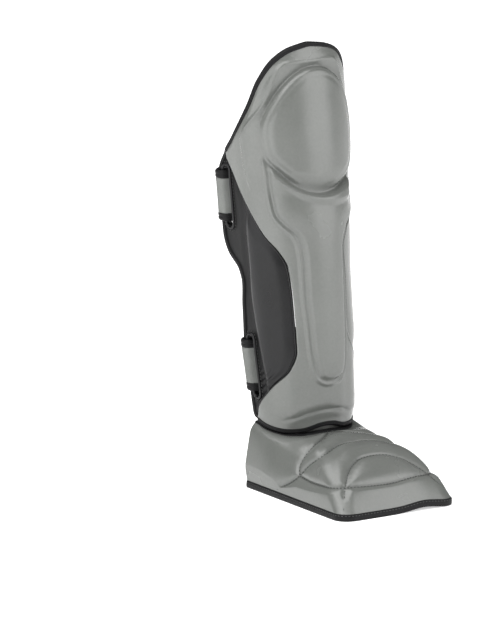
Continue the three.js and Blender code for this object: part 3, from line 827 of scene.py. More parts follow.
    def column(self, key: Array, upward: Array,
               lean: Callable[[Array, Array], Array]) -> tuple[Array, Array]:
        """Find turn and level in columns from hem to crown.

        Args:
            key: each place's share across.
            upward: each place's share upward.
            lean: gives the turn for shares across and levels.

        Returns:
            Turns and levels.
        """
        keys, back = np.unique(key, return_inverse=True)
        hem = np.full(len(keys), float(self.hem))
        low = self.hem_level(lean(keys, hem))
        top = self.top_of(lambda level: lean(keys, level), len(keys))
        level = (low + (top - low) * np.unique(upward)[:, None]).T[back, np.unique(upward, return_inverse=True)[1]]
        return lean(key, level), level

    def on_shell(self, across: Array, upward: Array) -> tuple[Array, Array]:
        """Give turn and level on the shell, across from -1 to 1."""
        def lean(key: Array, level: Array) -> Array:
            up = self.share(level)
            seam = self.by_side(key, lambda side: side.seam(up))
            return key * (seam - self.seam_gap / self.pace / 2)
        return self.column(across, upward, lean)

    def on_side(self, side: Side, across: Array, upward: Array) -> tuple[Array, Array]:
        """Give turn and level on a side piece, across from its seam to its edge."""
        def lean(key: Array, level: Array) -> Array:
            seam = self.seam_turn(side, level)
            return side.sign * (seam + (self.edge_turn(side, level) - seam) * key)
        return self.column(across, upward, lean)


# ---------------------------------------------------------------- shin part

@dataclass
class ShinShell:
    """The moulded front: margin, step, boss, crescent and long pad."""

    leg: Leg
    wall: float = 7
    margin_rise: float = 1.6
    frame_rise: float = 1.7
    frame_crest: float = 0.6
    valley_drop: float = 3.8
    boss_crest: float = 0.8
    pad_groove: float = 1.3
    hem_tuck: float = 4.6
    hem_crease: float = 0.9
    corner_fill: float = 2.4
    stitch_set: float = 4.0
    boss_rise: float = 4.6
    boss_dome: float = 1.4
    boss_reach: float = 1.4
    wing_ease: float = 0.62
    crescent_rise: float = 2.6
    pad_rise: float = 4.4
    pad_dome: float = 1.6
    bevel: float = 6.5
    margin: float = 9
    roll: float = 2.0
    columns: int = 216
    rows: int = 344
    crease: Rows = ((-64, .012), (-42, .022), (-24, .035), (-4, .041), (20, .036), (46, .017), (64, .010))
    boss: Rows = ((0, .932), (14, .922), (28, .892), (42, .845), (50, .81), (53, .785), (53, .74), (50, .706),
                  (39, .672), (25, .639), (12, .619), (0, .611))
    crescent: Rows = ((0, .70), (40, .72), (53, .70), (50, .668), (44, .65), (35, .624), (24, .598), (12, .583),
                      (0, .574))
    boss_wing: Rows = ((0, .932), (14, .926), (28, .903), (40, .858), (48, .80), (51, .75), (50, .70), (45, .665),
                       (37, .643), (25, .624), (12, .613), (0, .611))
    crescent_wing: Rows = ((0, .70), (26, .69), (38, .655), (47, .63), (53, .612), (48, .594), (38, .581), (25, .571),
                           (12, .569), (0, .574))
    pad_wing: Rows = ((0, .72), (28, .69), (40, .655), (50, .625), (54, .595), (51, .55), (43, .524), (33, .499),
                      (29, .466), (29, .338), (30, .266), (30, .193), (28, .15), (21, .118), (8, .106), (0, .105))
    long_pad: Rows = ((0, .72), (52, .72), (54, .66), (54, .60), (51, .55), (43, .524), (33, .499), (29, .466),
                      (28, .338), (26, .266), (24, .193), (21, .15), (16, .12), (6, .106), (0, .105))
    frame: Rows = ((0, .957), (10, .957), (25, .956), (33, .943), (40, .909), (50, .856), (60, .822), (72, .789),
                   (79, .756), (79, .72), (78, .672), (72, .608), (62, .56), (50, .54), (30, .50), (0, .48))

    def outline(self, rows: Rows, wing_rows: Rows | None = None) -> Array:
        """Close an outline from one half of a form, or from its panel side and its wing side."""
        panel, wing = (np.array([(turn * self.leg.pace, self.leg.hem + up * self.leg.height) for turn, up in side])
                       for side in (rows, wing_rows or rows))
        other = panel[1:-1][::-1] * [-1, 1]
        return curve_through(np.vstack([wing, other]), 120, True)

    def near_hem(self, turn: Array, level: Array) -> Array:
        """Give the change near the hem: the covering tucks in, creases, and is fuller at the sides."""
        up = self.leg.share(level)
        above = level - self.leg.hem_level(turn)
        rows = np.array(self.crease, float)
        line = self.leg.hem + Track(rows)(np.clip(turn, rows[0, 0], rows[-1, 0])) * self.leg.height
        off = level - line
        reach = ramp(64 - np.abs(turn), 24.0)
        crease = ridge(off, 0.0, 1.7) - 0.55 * ridge(off, 5.0, 4.0) - 0.35 * ridge(off, -4.0, 3.0)
        tuck = self.hem_tuck * (1 - ramp(above, 26.0)) * ramp(70 - np.abs(turn), 40.0)
        sides = self.corner_fill * ramp(np.abs(turn) - 26, 22.0) * ramp(0.27 - up, 0.07) * ramp(above, 16.0)
        return sides - tuck - self.hem_crease * crease * reach

    def relief(self, turn: Array, level: Array) -> Array:
        """Give the wall's thickness with all its forms."""
        x = turn * self.leg.pace
        up = self.leg.share(level)
        margin = self.leg.crown_level(turn) - level
        swell = self.margin_rise * ramp(margin, self.margin)
        on_frame = inset(self.outline(self.frame), x, level)
        on_boss = inset(self.outline(self.boss, self.boss_wing), x, level) + self.boss_reach
        on_crescent = inset(self.outline(self.crescent, self.crescent_wing), x, level)
        on_pad = inset(self.outline(self.long_pad, self.pad_wing), x, level)
        high = ramp(up - 0.60, 0.07)
        crest = ridge(on_frame, 2.2, 1.5)
        frame = (self.frame_rise * ramp(on_frame, 3.0) + self.frame_crest * crest) * high
        valley = np.clip(on_frame, 0, None) / (np.clip(on_frame, 0, None) + np.clip(-on_boss, 0, None) + 0.1)
        frame -= self.valley_drop * valley ** 1.3 * ramp(up - 0.76, 0.12) * ramp(-on_boss + 2.0, 2.0)
        off_boss = ramp(-on_boss, 5.0)
        pad = self.pad_rise * (0.5 * ramp(on_pad + 1.8, 3.4) + 0.5 * ramp(on_pad - 4.8, 3.8))
        pad -= self.pad_groove * ridge(on_pad, 3.9, 1.7)
        wing_fade = 1 - self.wing_ease * ramp(turn - 28, 18.0) * ramp(up - 0.53, 0.06)
        pad += self.pad_dome * ramp(on_pad, 22.0) + self.crescent_rise * ramp(on_crescent, 6.0)
        pad *= wing_fade
        soft = ramp(26 - np.abs(turn + 4), 14.0) * ramp(0.70 - up, 0.05)
        bevel = lerp(self.bevel, 15.0, soft)
        boss = self.boss_rise * ramp(on_boss, bevel) + self.boss_dome * ramp(on_boss, 38.0)
        edge = ridge(on_boss, 3.4, 1.5) - 0.7 * ridge(on_boss, 7.2, 2.2)
        boss += self.boss_crest * edge * (1 - soft)
        return self.wall + swell + frame + pad * off_boss + boss + self.near_hem(turn, level)

    def at(self, across: Array, upward: Array, filled: bool) -> Array:
        """Give points of the outer or inner face."""
        turn, level = self.leg.on_shell(across, upward)
        return self.leg.skin(turn, level, self.relief(turn, level) if filled else np.zeros_like(turn))

    def face(self, share: Array, upward: Array) -> Array:
        """Give the outer face, rolled down into the seams at both sides."""
        wide = (share * 2 - 1) * (1 + 4 / self.columns)
        across = np.clip(wide, -1, 1)
        turn, level = self.leg.on_shell(np.round(across, 6), upward)
        up = self.leg.share(level)
        seam = self.leg.by_side(turn, lambda side: side.seam(up)) * self.leg.pace
        gap = np.maximum(seam - np.abs(turn) * self.leg.pace, 0)
        sunk = np.clip((np.abs(wide) - 1) * self.columns / 4, 0, 1)
        out = (self.relief(turn, level) - rolled(self.roll, gap)) * (1 - sunk)
        return self.leg.skin(turn, level, out)

    def build(self) -> None:
        """Make the shell and its lining."""
        face = Forge.patch("moulded_shell", self.columns, self.rows, self.face)
        dress(face, Finish.GREY, "shell_leather", ["shin_shell"])
        lining = Forge.patch("shell_lining", 60, 90,
                             lambda i, j: self.leg.skin(*self.leg.on_shell(i * 2 - 1, j), 0.15),
                             flat=lambda i, j: np.stack([i * 0.17, j * 0.35], axis=1))
        dress(lining, Finish.LINING, "binding_tape")
        self.build_stitches()

    def build_stitches(self) -> None:
        """Lay the thread along the seam of the grey wing."""
        level = self.leg.hem + self.leg.height * np.linspace(0.07, 0.72, 260)
        turn = self.leg.wing.seam(self.leg.share(level)) - self.stitch_set / self.leg.pace
        points = self.leg.skin(turn, level, self.relief(turn, level))
        thread = Forge.stitches("wing_stitches", [(points, self.leg.outward(turn, level))], Sewing.SEAM)
        dress(thread, Finish.DARK_THREAD, "shell_leather")


@dataclass
class SidePiece:
    """A side of the shin part: the black panel with its slots, or the grey wing."""

    leg: Leg
    side: Side
    name: str
    node: str
    finish: Finish
    slot: str
    columns: int
    rows: int
    roll: float = 2.0

    def wall(self, across: Array, level: Array) -> Array:
        """Give the thickness of the side."""
        middle = np.sqrt(np.maximum(np.sin(np.pi * across), 0))
        return self.side.wall + self.side.filling * middle * self.side.fill(self.leg.share(level))

    def at(self, across: Array, upward: Array, filled: bool) -> Array:
        """Give points of the outer or inner face."""
        turn, level = self.leg.on_side(self.side, across, upward)
        return self.leg.skin(turn, level, self.wall(across, level) if filled else np.zeros_like(turn))

    def fold(self, turn: Array, level: Array) -> Array:
        """Give the covering's folds: none on a plain side."""
        return np.zeros_like(turn)

    def shade(self, across: Array, upward: Array) -> Array:
        """Give how much painted shade lies on the flap at each place: none on a plain side."""
        return np.zeros_like(across)

    def face(self, across: Array, upward: Array) -> Array:
        """Give the outer face with its folds, rolled down at the seam."""
        turn, level = self.leg.on_side(self.side, across, upward)
        seam = self.side.seam(self.leg.share(level)) * self.leg.pace
        gap = np.maximum(np.abs(turn) * self.leg.pace - seam, 0)
        out = self.wall(across, level) - rolled(self.roll, gap) + self.fold(turn, level)
        return self.leg.skin(turn, level, out)

    def build(self) -> bpy.types.Object:
        """Make the side."""
        # The flap mark carries painted shade onto the black panel's flap.
        mesh = Forge.patch(self.name, self.columns, self.rows, self.face, lambda i, j: self.at(i, j, False),
                           marks={"flap": self.shade})
        return to_object(mesh, self.finish)


@dataclass
class BlackPanel(SidePiece):
    """The black panel: a filled front, and a flat flap behind a fold with painted shade on it."""

    fold_line: Rows = ((0.0, 104), (.07, 79), (.15, 86), (.223, 92), (.322, 96), (.426, 92), (.506, 90), (.57, 85),
                       (.62, 92), (.70, 112))
    puff: float = 2.2

    def behind(self, turn: Array, level: Array) -> Array:
        """Give how far behind the fold a place lies, in millimetres."""
        return (np.abs(turn) - Track(self.fold_line)(self.leg.share(level))) * self.leg.pace

    def fold(self, turn: Array, level: Array) -> Array:
        """Give the filled front, the fold, and the small puckers at its ends."""
        up = self.leg.share(level)
        seam = np.abs(turn) * self.leg.pace - self.side.seam(up) * self.leg.pace
        back = self.behind(turn, level)
        front = self.puff * ramp(seam, 14.0) * ramp(-back, 5.0)
        flap = -1.5 * ramp(back, 2.5) + 1.1 * ramp(back - 4.0, 9.0)
        lip = 0.8 * ridge(back, -1.5, 1.6)
        pucker = 0.5 * np.sin(seam * 0.8 + 40 * up) * ridge(up, 0.09, 0.05) * ramp(seam, 6.0)
        return (front + flap + lip) * ramp(up - 0.02, 0.05) + pucker

    def shade(self, across: Array, upward: Array) -> Array:
        """Give how much painted shade lies on the flap behind the fold at each place."""
        turn, level = self.leg.on_side(self.side, across, upward)
        return ramp(self.behind(turn, level) + 0.8, 2.4)


@dataclass
class Slots:
    """The two slots of the panel, with their rings and stitches."""

    leg: Leg
    length: float = 57
    width: float = 8
    proud: float = 1.2
    gap: float = 0.3
    levels: tuple[float, float] = (269.5, 112.5)
    setbacks: tuple[float, float] = (9, 8)
    names: tuple[str, str] = ("upper", "lower")

    def turn(self, which: int, level: Array, across: Array) -> Array:
        """Give the turn of a place across a slot."""
        return -(self.leg.edge_turn(self.leg.panel, level) - (self.setbacks[which] - across) / self.leg.pace)

    def plan(self, which: int, wider: float, steps: int = 24) -> tuple[Array, Array]:
        """Give turns and levels round a slot.

        Args:
            which: 0 for the upper slot, 1 for the lower.
            wider: how far outside the opening.
            steps: steps round each end.

        Returns:
            Turns and levels of a closed ring, in even steps.
        """
        radius = self.width / 2 + wider
        straight = (self.length - self.width) / 2
        angle = np.linspace(0, np.pi, steps + 1)
        flat = np.vstack([np.stack([end * radius * np.cos(angle), end * (straight + radius * np.sin(angle))], axis=1)
                          for end in (1, -1)])
        flat = even_steps(looped(flat), 0.8)[:-1]
        level = self.levels[which] + flat[:, 1]
        return self.turn(which, level, flat[:, 0]), level

    def ring(self, which: int, wider: float, out: float) -> Array:
        """Give points round a slot."""
        turn, level = self.plan(which, wider)
        return self.leg.skin(turn, level, out)

    def cut(self, panel: bpy.types.Object) -> None:
        """Cut both slots through the panel."""
        depth = 2 * self.leg.panel.wall
        for which, name in enumerate(self.names):
            rings = [self.ring(which, 0, out) for out in (-depth, 0, depth, 2 * depth)]
            mesh = Forge.sweep(f"cutter_{name}", np.array(rings), False)
            cutter = bpy.data.objects.new(f"cutter_{name}", mesh)
            bpy.context.scene.collection.objects.link(cutter)
            modifier = panel.modifiers.new("slot", "BOOLEAN")
            modifier.object = cutter
            modifier.operation = "DIFFERENCE"
            modifier.solver = "EXACT"
            finished = bpy.data.meshes.new_from_object(panel.evaluated_get(bpy.context.evaluated_depsgraph_get()))
            panel.modifiers.clear()
            panel.data = finished
            bpy.data.objects.remove(cutter)

    def build(self) -> None:
        """Make the rings and their stitches."""
        wall = self.leg.panel.wall
        profile = ((-0.2, -wall * 0.9), (-0.2, 0.5), (0.1, 1.0), (0.7, 1.45), (1.5, 1.5), (2.3, 1.15), (2.7, 0.5),
                   (2.7, -0.6))
        for which, name in enumerate(self.names):
            count = len(self.plan(which, 0)[0])
            rows = [walk(looped(self.ring(which, wider, wall + lift)), count)[:-1] for wider, lift in profile]
            mesh = Forge.sweep(f"slot_ring_{name}", np.stack(rows, axis=1), True)
            dress(mesh, Finish.BLACK, "panel_leather", [f"slot_trim_{name}"])
            turn, level = self.plan(which, 4.2)
            line = self.leg.skin(turn, level, wall)
            normal = self.leg.outward(turn, level)
            thread = Forge.stitches(f"slot_stitches_{name}", [(looped(line), looped(normal))], Sewing.SLOT)
            dress(thread, Finish.DARK_THREAD, "panel_leather")


@dataclass
class EdgeBinding:
    """The tape bound once round the shin part, and the piping along the panel."""

    leg: Leg
    shell: ShinShell
    panel: SidePiece
    wing: SidePiece
    width: float = 3.2
    proud: float = 0.8
    gap: float = 0.3
    piping: float = 2
    step: float = 1.9
    piping_steps: int = 300
    piping_corners: int = 10
    profile: Rows = ((-1.0, 0.97), (-0.5, 1.02), (0.3, 1.02), (0.8, 0.90), (1.3, 1.0), (2.1, 0.93), (2.8, 0.66),
                     (3.2, 0.25))

    def edge(self) -> tuple[Array, Array]:
        """Give the face and back points round the whole edge."""
        runs = ((self.shell, 150, (1, 1), (-1, 1)), (self.panel, 40, (0, 1), (1, 1)),
                (self.panel, 260, (1, 1), (1, 0)), (self.panel, 40, (1, 0), (0, 0)),
                (self.shell, 150, (-1, 0), (1, 0)), (self.wing, 40, (0, 0), (1, 0)),
                (self.wing, 260, (1, 0), (1, 1)), (self.wing, 40, (1, 1), (0, 1)))
        faces, backs = [], []
        for part, count, start, end in runs:
            step = np.arange(count) / count
            across, upward = (lerp(a, b, step) for a, b in zip(start, end))
            faces.append(part.at(across, upward, True))
            backs.append(part.at(across, upward, False))
        return np.vstack(faces), np.vstack(backs)

    def sections(self, face: Array, back: Array, width: float, joined: bool) -> Array:
        """Lay the tape's rounded section along an edge."""
        middle = (face + back) / 2
        if joined:
            ahead, behind = np.roll(middle, -1, axis=0), np.roll(middle, 1, axis=0)
        else:
            ahead = np.vstack([middle[1:], middle[-1:]])
            behind = np.vstack([middle[:1], middle[:-1]])
        through = unit(face - back)
        off = unit(np.cross(unit(ahead - behind), through))
        half = np.linalg.norm(face - back, axis=1) / 2 + self.proud
        corners = [*self.profile, *[(away, -thick) for away, thick in reversed(self.profile)]]
        scale = width / self.width
        rows = [middle + off * (self.gap + away * scale if away > 0 else away) + through * (half * thick)[:, None]
                for away, thick in corners]
        return np.stack(rows, axis=1)

    def smooth(self, points: Array, times: int = 6) -> Array:
        """Ease a closed line's corners."""
        for _ in range(times):
            points = (np.roll(points, 1, axis=0) + 2 * points + np.roll(points, -1, axis=0)) / 4
        return points

    def build(self) -> None:
        """Make the tape and the piping."""
        face, back = self.edge()
        both = np.hstack([face, back])
        both = even_steps(looped(both), self.step)[:-1]
        both = self.smooth(both)
        mesh = Forge.sweep("bound_edge", self.sections(both[:, :3], both[:, 3:], self.width, True), True)
        dress(mesh, Finish.TAPE, "binding_tape", ["edge_binding"])
        rows = np.linspace(1 / 34, 33 / 34, self.piping_steps)
        turn, level = self.leg.on_side(self.leg.panel, 0 * rows, rows)
        angles = np.linspace(0, 2 * np.pi, self.piping_corners, endpoint=False)
        corners = [self.leg.skin(turn - (1 + self.piping * 0.5 * np.cos(a)) / self.leg.pace, level,
                                 self.leg.panel.wall + 1.1 + self.piping * 0.55 * np.sin(a)) for a in angles]
        mesh = Forge.sweep("seam_piping", np.stack(corners, axis=1), False)
        dress(mesh, Finish.BLACK, "binding_tape", ["panel_piping"])


@dataclass
class Straps:
    """The two elastic straps with their bound edges."""

    leg: Leg
    slots: Slots
    width: float = 47.5
    tape: float = 7.5
    thick: float = 2.2
    bow: float = 7
    sewn: float = 26
    tuck: float = 12
    ease: float = 0.9
    lining: float = 1.1
    fold_stop: float = 4.25
    box_set: float = 2
    box_reach: float = 22
    box_edge: float = 4
    steps: int = 200
    stops: int = 11

    def line(self, which: int, level: float) -> Array:
        """Give the strap's middle line at one level."""
        leg = self.leg
        panel, wing = leg.panel, leg.wing
        here = np.array([level])
        half = self.thick / 2
        slot_w = self.slots.width
        inside = -(self.lining + half)
        over = panel.wall + self.slots.proud + self.ease + half
        panel_edge = leg.edge_turn(panel, here)
        wing_edge = leg.edge_turn(wing, here)
        beyond = leg.tape + self.ease + half
        edges = (leg.inner(-panel_edge, here)[0], leg.inner(wing_edge, here)[0])
        back = max(edges[0][1], edges[1][1]) + beyond
        wide = abs(leg.inner(panel_edge, here)[0][0])
        def flat(turn: Array, out: float) -> Array:
            return leg.skin(turn, here, out)[0]
        points = [
            flat(self.slots.turn(which, here, -slot_w / 2 - self.tuck), inside),
            flat(self.slots.turn(which, here, -slot_w * 0.4), inside),
            flat(self.slots.turn(which, here, 0.0), panel.wall / 2),
            flat(self.slots.turn(which, here, slot_w * 0.4), over),
            flat(-(panel_edge + leg.tape / leg.pace / 2), over),
            flat(-(panel_edge + (beyond + self.ease) / leg.pace), panel.wall * 0.6),
            np.array([-wide * 0.62, back - self.bow * 0.1, level]),
            np.array([0, back + self.bow * 0.5, level]),
            np.array([wide * 0.62, back + self.bow * 0.4, level]),
            flat(wing_edge + beyond / leg.pace, inside - 2 * self.thick),
            flat(wing_edge - leg.tape / leg.pace, inside),
            flat(wing_edge - self.sewn / leg.pace, inside),
        ]
        line = curve_through(np.array(points), self.steps)
        line[:, 2] = level
        return line

    def band(self, which: int, low: float, high: float, rows: int, swell: Callable[[Array], Array],
             name: str) -> bpy.types.Mesh:
        """Make part of a strap between two heights above its middle.

        Args:
            which: 0 for the upper strap, 1 for the lower.
            low: lower height.
            high: upper height.
            rows: faces upward.
            swell: gives half the thickness for shares upward.
            name: name of the mesh.

        Returns:
            The mesh.
        """
        centre = self.slots.levels[which]
        heights = np.linspace(low, high, rows + 1)
        lines = np.array([self.line(which, centre + h) for h in heights])
        ahead = np.concatenate([lines[:, 1:], lines[:, -1:]], axis=1)
        behind = np.concatenate([lines[:, :1], lines[:, :-1]], axis=1)
        way = ahead - behind
        off = unit(np.stack([way[..., 1], -way[..., 0], 0 * way[..., 0]], axis=-1))
        run = run_along(lines[rows // 2])
        def at(sign: float) -> Mapping:
            def place(i: Array, j: Array) -> Array:
                k = np.rint(i * self.steps).astype(int)
                r = np.rint(j * rows).astype(int)
                return lines[r, k] + off[r, k] * (sign * swell(j))[:, None]
            return place
        def flat(i: Array, j: Array) -> Array:
            return np.stack([run[np.rint(i * self.steps).astype(int)], lerp(low, high, j)], axis=1) * MM
        return Forge.patch(name, self.steps, rows, at(1.0), at(-1.0), flat=flat)

    def stitch_line(self, which: int, start: tuple[float, float],
                    end: tuple[float, float]) -> tuple[Array, Array]:
        """Give a sewn line on a strap's outer face.

        Args:
            which: 0 for the upper strap, 1 for the lower.
            start: stop along the strap's run and height above its middle.
            end: the same for the other end.

        Returns:
            Points and normals of the line.
        """
        points, normals = [], []
        for share in np.linspace(0, 1, 24):
            stop, height = (lerp(a, b, share) for a, b in zip(start, end))
            line = self.line(which, self.slots.levels[which] + height)
            k = int(round(stop / self.stops * self.steps))
            way = line[k + 1] - line[k - 1]
            off = unit(np.array([way[1], -way[0], 0.0]))
            points.append(line[k] + off * (self.thick / 2 + 0.1))
            normals.append(off)
        return np.array(points), np.array(normals)

    def sew(self, wing: SidePiece) -> None:
        """Sew the straps' folded ends and their ends on the wing."""
        reach = self.width / 2 - self.tape - 0.5
        lines = [self.stitch_line(which, (self.fold_stop, -reach), (self.fold_stop, reach)) for which in (0, 1)]
        lines += [self.stitch_line(0, (3.35, -4.0 - lift), (4.2, -15.0 - lift)) for lift in (0.0, 2.0)]
        thread = Forge.stitches("strap_stitches", lines, Sewing.STRAP)
        dress(thread, Finish.DARK_THREAD, "strap_elastic")
        boxes = []
        for which in (0, 1):
            middle = self.slots.levels[which]
            high = self.width / 2 - self.box_set
            inner = float(self.leg.edge_turn(self.leg.wing, np.array([middle]))[0]) - self.box_reach / self.leg.pace
            for low, top in ((high, high), (-high, -high), (-high, high)):
                level = middle + np.linspace(low, top, 40)
                edge = self.leg.edge_turn(self.leg.wing, level)
                share = np.linspace(0, 1, 40) if low == top else np.zeros(40)
                wanted = lerp(inner, np.maximum(edge - self.box_edge / self.leg.pace, inner), share)
                seam = self.leg.seam_turn(self.leg.wing, level)
                across = np.clip((wanted - seam) / (edge - seam), 0, 1)
                turn = seam + (edge - seam) * across
                boxes.append((self.leg.skin(turn, level, wing.wall(across, level)), self.leg.outward(turn, level)))
        thread = Forge.stitches("wing_box_stitches", boxes, Sewing.SEAM)
        dress(thread, Finish.DARK_THREAD, "shell_leather")

    def build(self) -> None:
        """Make both straps."""
        half = self.width / 2
        seam = half - self.tape
        for which, name in enumerate(self.slots.names):
            def body(j: Array) -> Array:
                return self.thick / 2 + 0 * j
            def roll(j: Array) -> Array:
                fold = 1 - 0.3 * ridge(j, 0.5, 0.07)
                return (self.thick / 2 + 0.35) * np.maximum(1 - (2 * j - 1) ** 6, 0.15) * fold
            mesh = self.band(which, -seam, seam, 24, body, f"strap_body_{name}")
            dress(mesh, Finish.ELASTIC, "strap_elastic", [f"strap_{name}"])
            for edge, low, high in (("top", seam - 0.6, half), ("bottom", -half, -seam + 0.6)):
                mesh = self.band(which, low, high, 20, roll, f"strap_binding_{name}_{edge}")
                dress(mesh, Finish.TAPE, "binding_tape", [f"strap_{name}_tape_{edge}"])


# ---------------------------------------------------------------- instep part

@dataclass
class Instep:
    """The quilted instep part with its rim, collar and ankle joints."""

    leg: Leg
    length: float = 166
    back: float = 2
    half_width: float = 58
    wall: float = 7
    spread: float = 104
    corner: float = 15
    rim_flare: float = 0.11
    rim_height: float = 6.5
    collar_tape: float = 1.2
    collar_drop: float = 5.4
    collar_track: Track = field(default_factory=lambda: Track(
        [(0, 1), (16, .78), (30, .46), (45, .38), (68, .38), (84, .41), (104, .5)]))
    puff: float = 4.2
    puff_width: float = 9
    edge_soft: float = 4
    lean: float = 0.6
    flank_bend: float = 1.25
    toe_bend: float = 3.2
    toe_growth: float = 0.04
    toe_rise: float = 3.0
    gap: float = 0.3
    proud: float = 0.8
    columns: int = 240
    rows: int = 190
    rim_steps: int = 300
    collar_steps: int = 220
    rim_profile: Rows = ((-0.5, 0), (-0.8, 0.9), (-0.85, 3.2), (-0.75, 5.2), (-0.2, 6.4), (0.6, 6.9), (1.6, 6.7),
                         (6.8, 6.7), (7.6, 5.6), (7.8, 3.0), (7.4, 0))
    hinge_turn: float = 38
    joint_lap: float = 16
    elastic_reach: float = 12
    seams: tuple[Rows, ...] = (
        ((0.02, 0.0), (0.15, 0.14), (0.28, 0.27), (0.41, 0.42), (0.49, 0.55), (0.52, 0.68)),
        ((0, 0.355), (0.09, 0.362), (0.17, 0.39), (0.28, 0.47), (0.41, 0.555), (0.52, 0.68)),
        ((0, 0.60), (0.07, 0.607), (0.12, 0.64), (0.17, 0.70), (0.215, 0.81), (0.255, 1)),
        ((0, 0.86), (0.1, 0.85), (0.21, 0.82), (0.32, 0.79), (0.43, 0.75), (0.52, 0.68)),
        ((0.52, 0.68), (0.6, 0.78), (0.69, 0.89), (0.77, 1)),
    )

    @classmethod
    def rim_front(cls) -> float:
        """Give the foremost reach of the rim, in the leg's millimetres."""
        return cls.back - cls.length - cls.proud

    def collar_level(self, turn: Array) -> Array:
        """Give the height of the collar edge."""
        drop = self.collar_drop * self.collar_track(np.abs(turn))
        return self.leg.hem_level(turn) - self.leg.tape - drop

    def rim_plan(self, side: Array, inward: float) -> Array:
        """Give the rim's plan, side from the toes (0) to the back (1)."""
        half = self.half_width - inward
        front = self.back - self.length + inward
        toe = half - self.corner
        arc = self.corner * np.pi / 2
        flank = self.length - inward - self.corner
        at = side * (toe + arc + flank)
        bend = np.clip((at - toe) / self.corner, 0, np.pi / 2)
        x = np.where(at < toe, at, toe + self.corner * np.sin(bend))
        y = front + self.corner * (1 - np.cos(bend)) + np.maximum(at - toe - arc, 0)
        return np.stack([x * (1 + self.rim_flare * (self.back - y) / self.length), y], axis=-1)

    def toe_lift(self, side: Array, x: Array) -> Array:
        """Give how far the soft toe edge stands off the ground."""
        return self.toe_rise * ridge(x, 27, 19) * ramp(0.34 - np.abs(side), 0.1)

    def rim_line(self, side: Array, inward: float, height: float) -> Array:
        """Give a line along the rim, a little higher at the toes."""
        plan = self.rim_plan(np.abs(side), inward)
        tall = height * (1 + self.toe_growth * ramp(0.40 - np.abs(side), 0.12))
        x = np.sign(side) * plan[:, 0]
        return np.stack([x, plan[:, 1], tall + self.toe_lift(side, x)], axis=1)

    def vault(self, side: Array, down: Array, filled: bool) -> Array:
        """Give the bare vault between collar and rim."""
        away = np.abs(side)
        sides, back = np.unique(side, return_inverse=True)
        turn = sides * self.spread
        collar = self.leg.skin(turn, self.collar_level(turn), np.full(len(sides), self.wall if filled else 0.0))[back]
        rim = self.rim_plan(away, 0 if filled else self.wall)
        bend = self.flank_bend + (self.toe_bend - self.flank_bend) * np.cos(np.pi * away / 2) ** 6
        x = lerp(collar[:, 0], np.sign(side) * rim[:, 0], down)
        y = lerp(collar[:, 1], rim[:, 1], down)
        lift = 0 if filled else self.wall * np.sin(np.pi * down) * self.lean
        top = self.rim_height + self.gap
        z = collar[:, 2] - (collar[:, 2] - top) * np.maximum(down, 0) ** bend - lift
        z += self.toe_lift(side, x) * np.maximum(down, 0) ** 4
        return np.stack([x, y, z], axis=1)

    def seam_lines(self) -> list[Array]:
        """Give the sewn lines of both sides on the bare vault."""
        return [self.vault(flat[:, 0], flat[:, 1], True) for flat in self.seam_plans()]

    def seam_plans(self) -> list[Array]:
        """Give the seams as sides and downs: whole over the instep, or one for each flank."""
        plans = []
        for rows in self.seams:
            table = np.array(rows, float)
            if table[0, 0] == 0:
                plans.append(curve_through(np.vstack([table[:0:-1] * [-1, 1], table]), 90))
            else:
                plans += [curve_through(table * [sign, 1], 45) for sign in (1.0, -1.0)]
        return plans

    def normal(self, side: Array, down: Array) -> Array:
        """Give the direction away from the foot."""
        step = 0.01
        across = self.vault(side + step, down, True) - self.vault(side - step, down, True)
        along = self.vault(side, np.minimum(down + step, 1), True) - self.vault(side, np.maximum(down - step, 0), True)
        return unit(np.cross(along, across))

    def quilt(self, point: Array, down: Array) -> Array:
        """Give the filling's height: full between seams, drawn in and puckered along them."""
        near = np.full(len(point), np.inf)
        run = np.zeros(len(point))
        for order, line in enumerate(self.seam_lines()):
            gap, along = near_line(point, line)
            closer = gap < near
            near[closer] = gap[closer]
            run[closer] = along[closer] + 37.0 * order
        edge = np.minimum(down, 1 - down) * self.edge_soft
        swell = np.sqrt(1 - np.exp(-np.maximum(near - 0.6, 0) / self.puff_width))
        swell = 1 - (1 - swell) * (1 - 0.6 * ramp(down - 0.87, 0.09))
        full = self.puff * np.minimum(swell, ramp(edge, 1.0) ** 0.6)
        pucker = np.sin(run * 0.92 + 1.3 * np.sin(run * 0.21)) * np.exp(-near / 4.2) * ramp(near, 1.6)
        return full + 0.10 * pucker * ramp(edge, 0.4)

    def face(self, share: Array, down: Array) -> Array:
        """Give the quilted outer face."""
        side = share * 2 - 1
        point = self.vault(side, down, True)
        return point + self.normal(side, down) * self.quilt(point, down)[:, None]

    def build(self, binding: EdgeBinding) -> None:
        """Make the quilted part, its rim, collar, stitches and joints."""
        mesh = Forge.patch("quilted_instep", self.columns, self.rows, self.face)
        dress(mesh, Finish.GREY, "shell_leather", ["instep_shell"])
        lining = Forge.patch("instep_lining", 90, 60, lambda i, j: self.vault(i * 2 - 1, j, False),
                             flat=lambda i, j: np.stack([i * 0.3, j * 0.13], axis=1))
        dress(lining, Finish.LINING, "binding_tape")
        self.build_rim()
        self.build_collar(binding)
        self.build_stitches()
        self.build_joints()

    def build_rim(self) -> None:
        """Make the thick tape under the lower edge."""
        side = np.linspace(-1, 1, self.rim_steps)
        rows = [self.rim_line(side, inward, height) for inward, height in self.rim_profile]
        mesh = Forge.sweep("bound_rim", np.stack(rows, axis=1), False)
        dress(mesh, Finish.TAPE, "binding_tape", ["instep_rim"])
        line, beyond = (self.rim_line(side, inward, 5.0) for inward in (-0.75, -4.0))
        thread = Forge.stitches("rim_stitches", [(line, unit((beyond - line) * [1, 1, 0]))], Sewing.RIM)
        dress(thread, Finish.DARK_THREAD, "binding_tape")

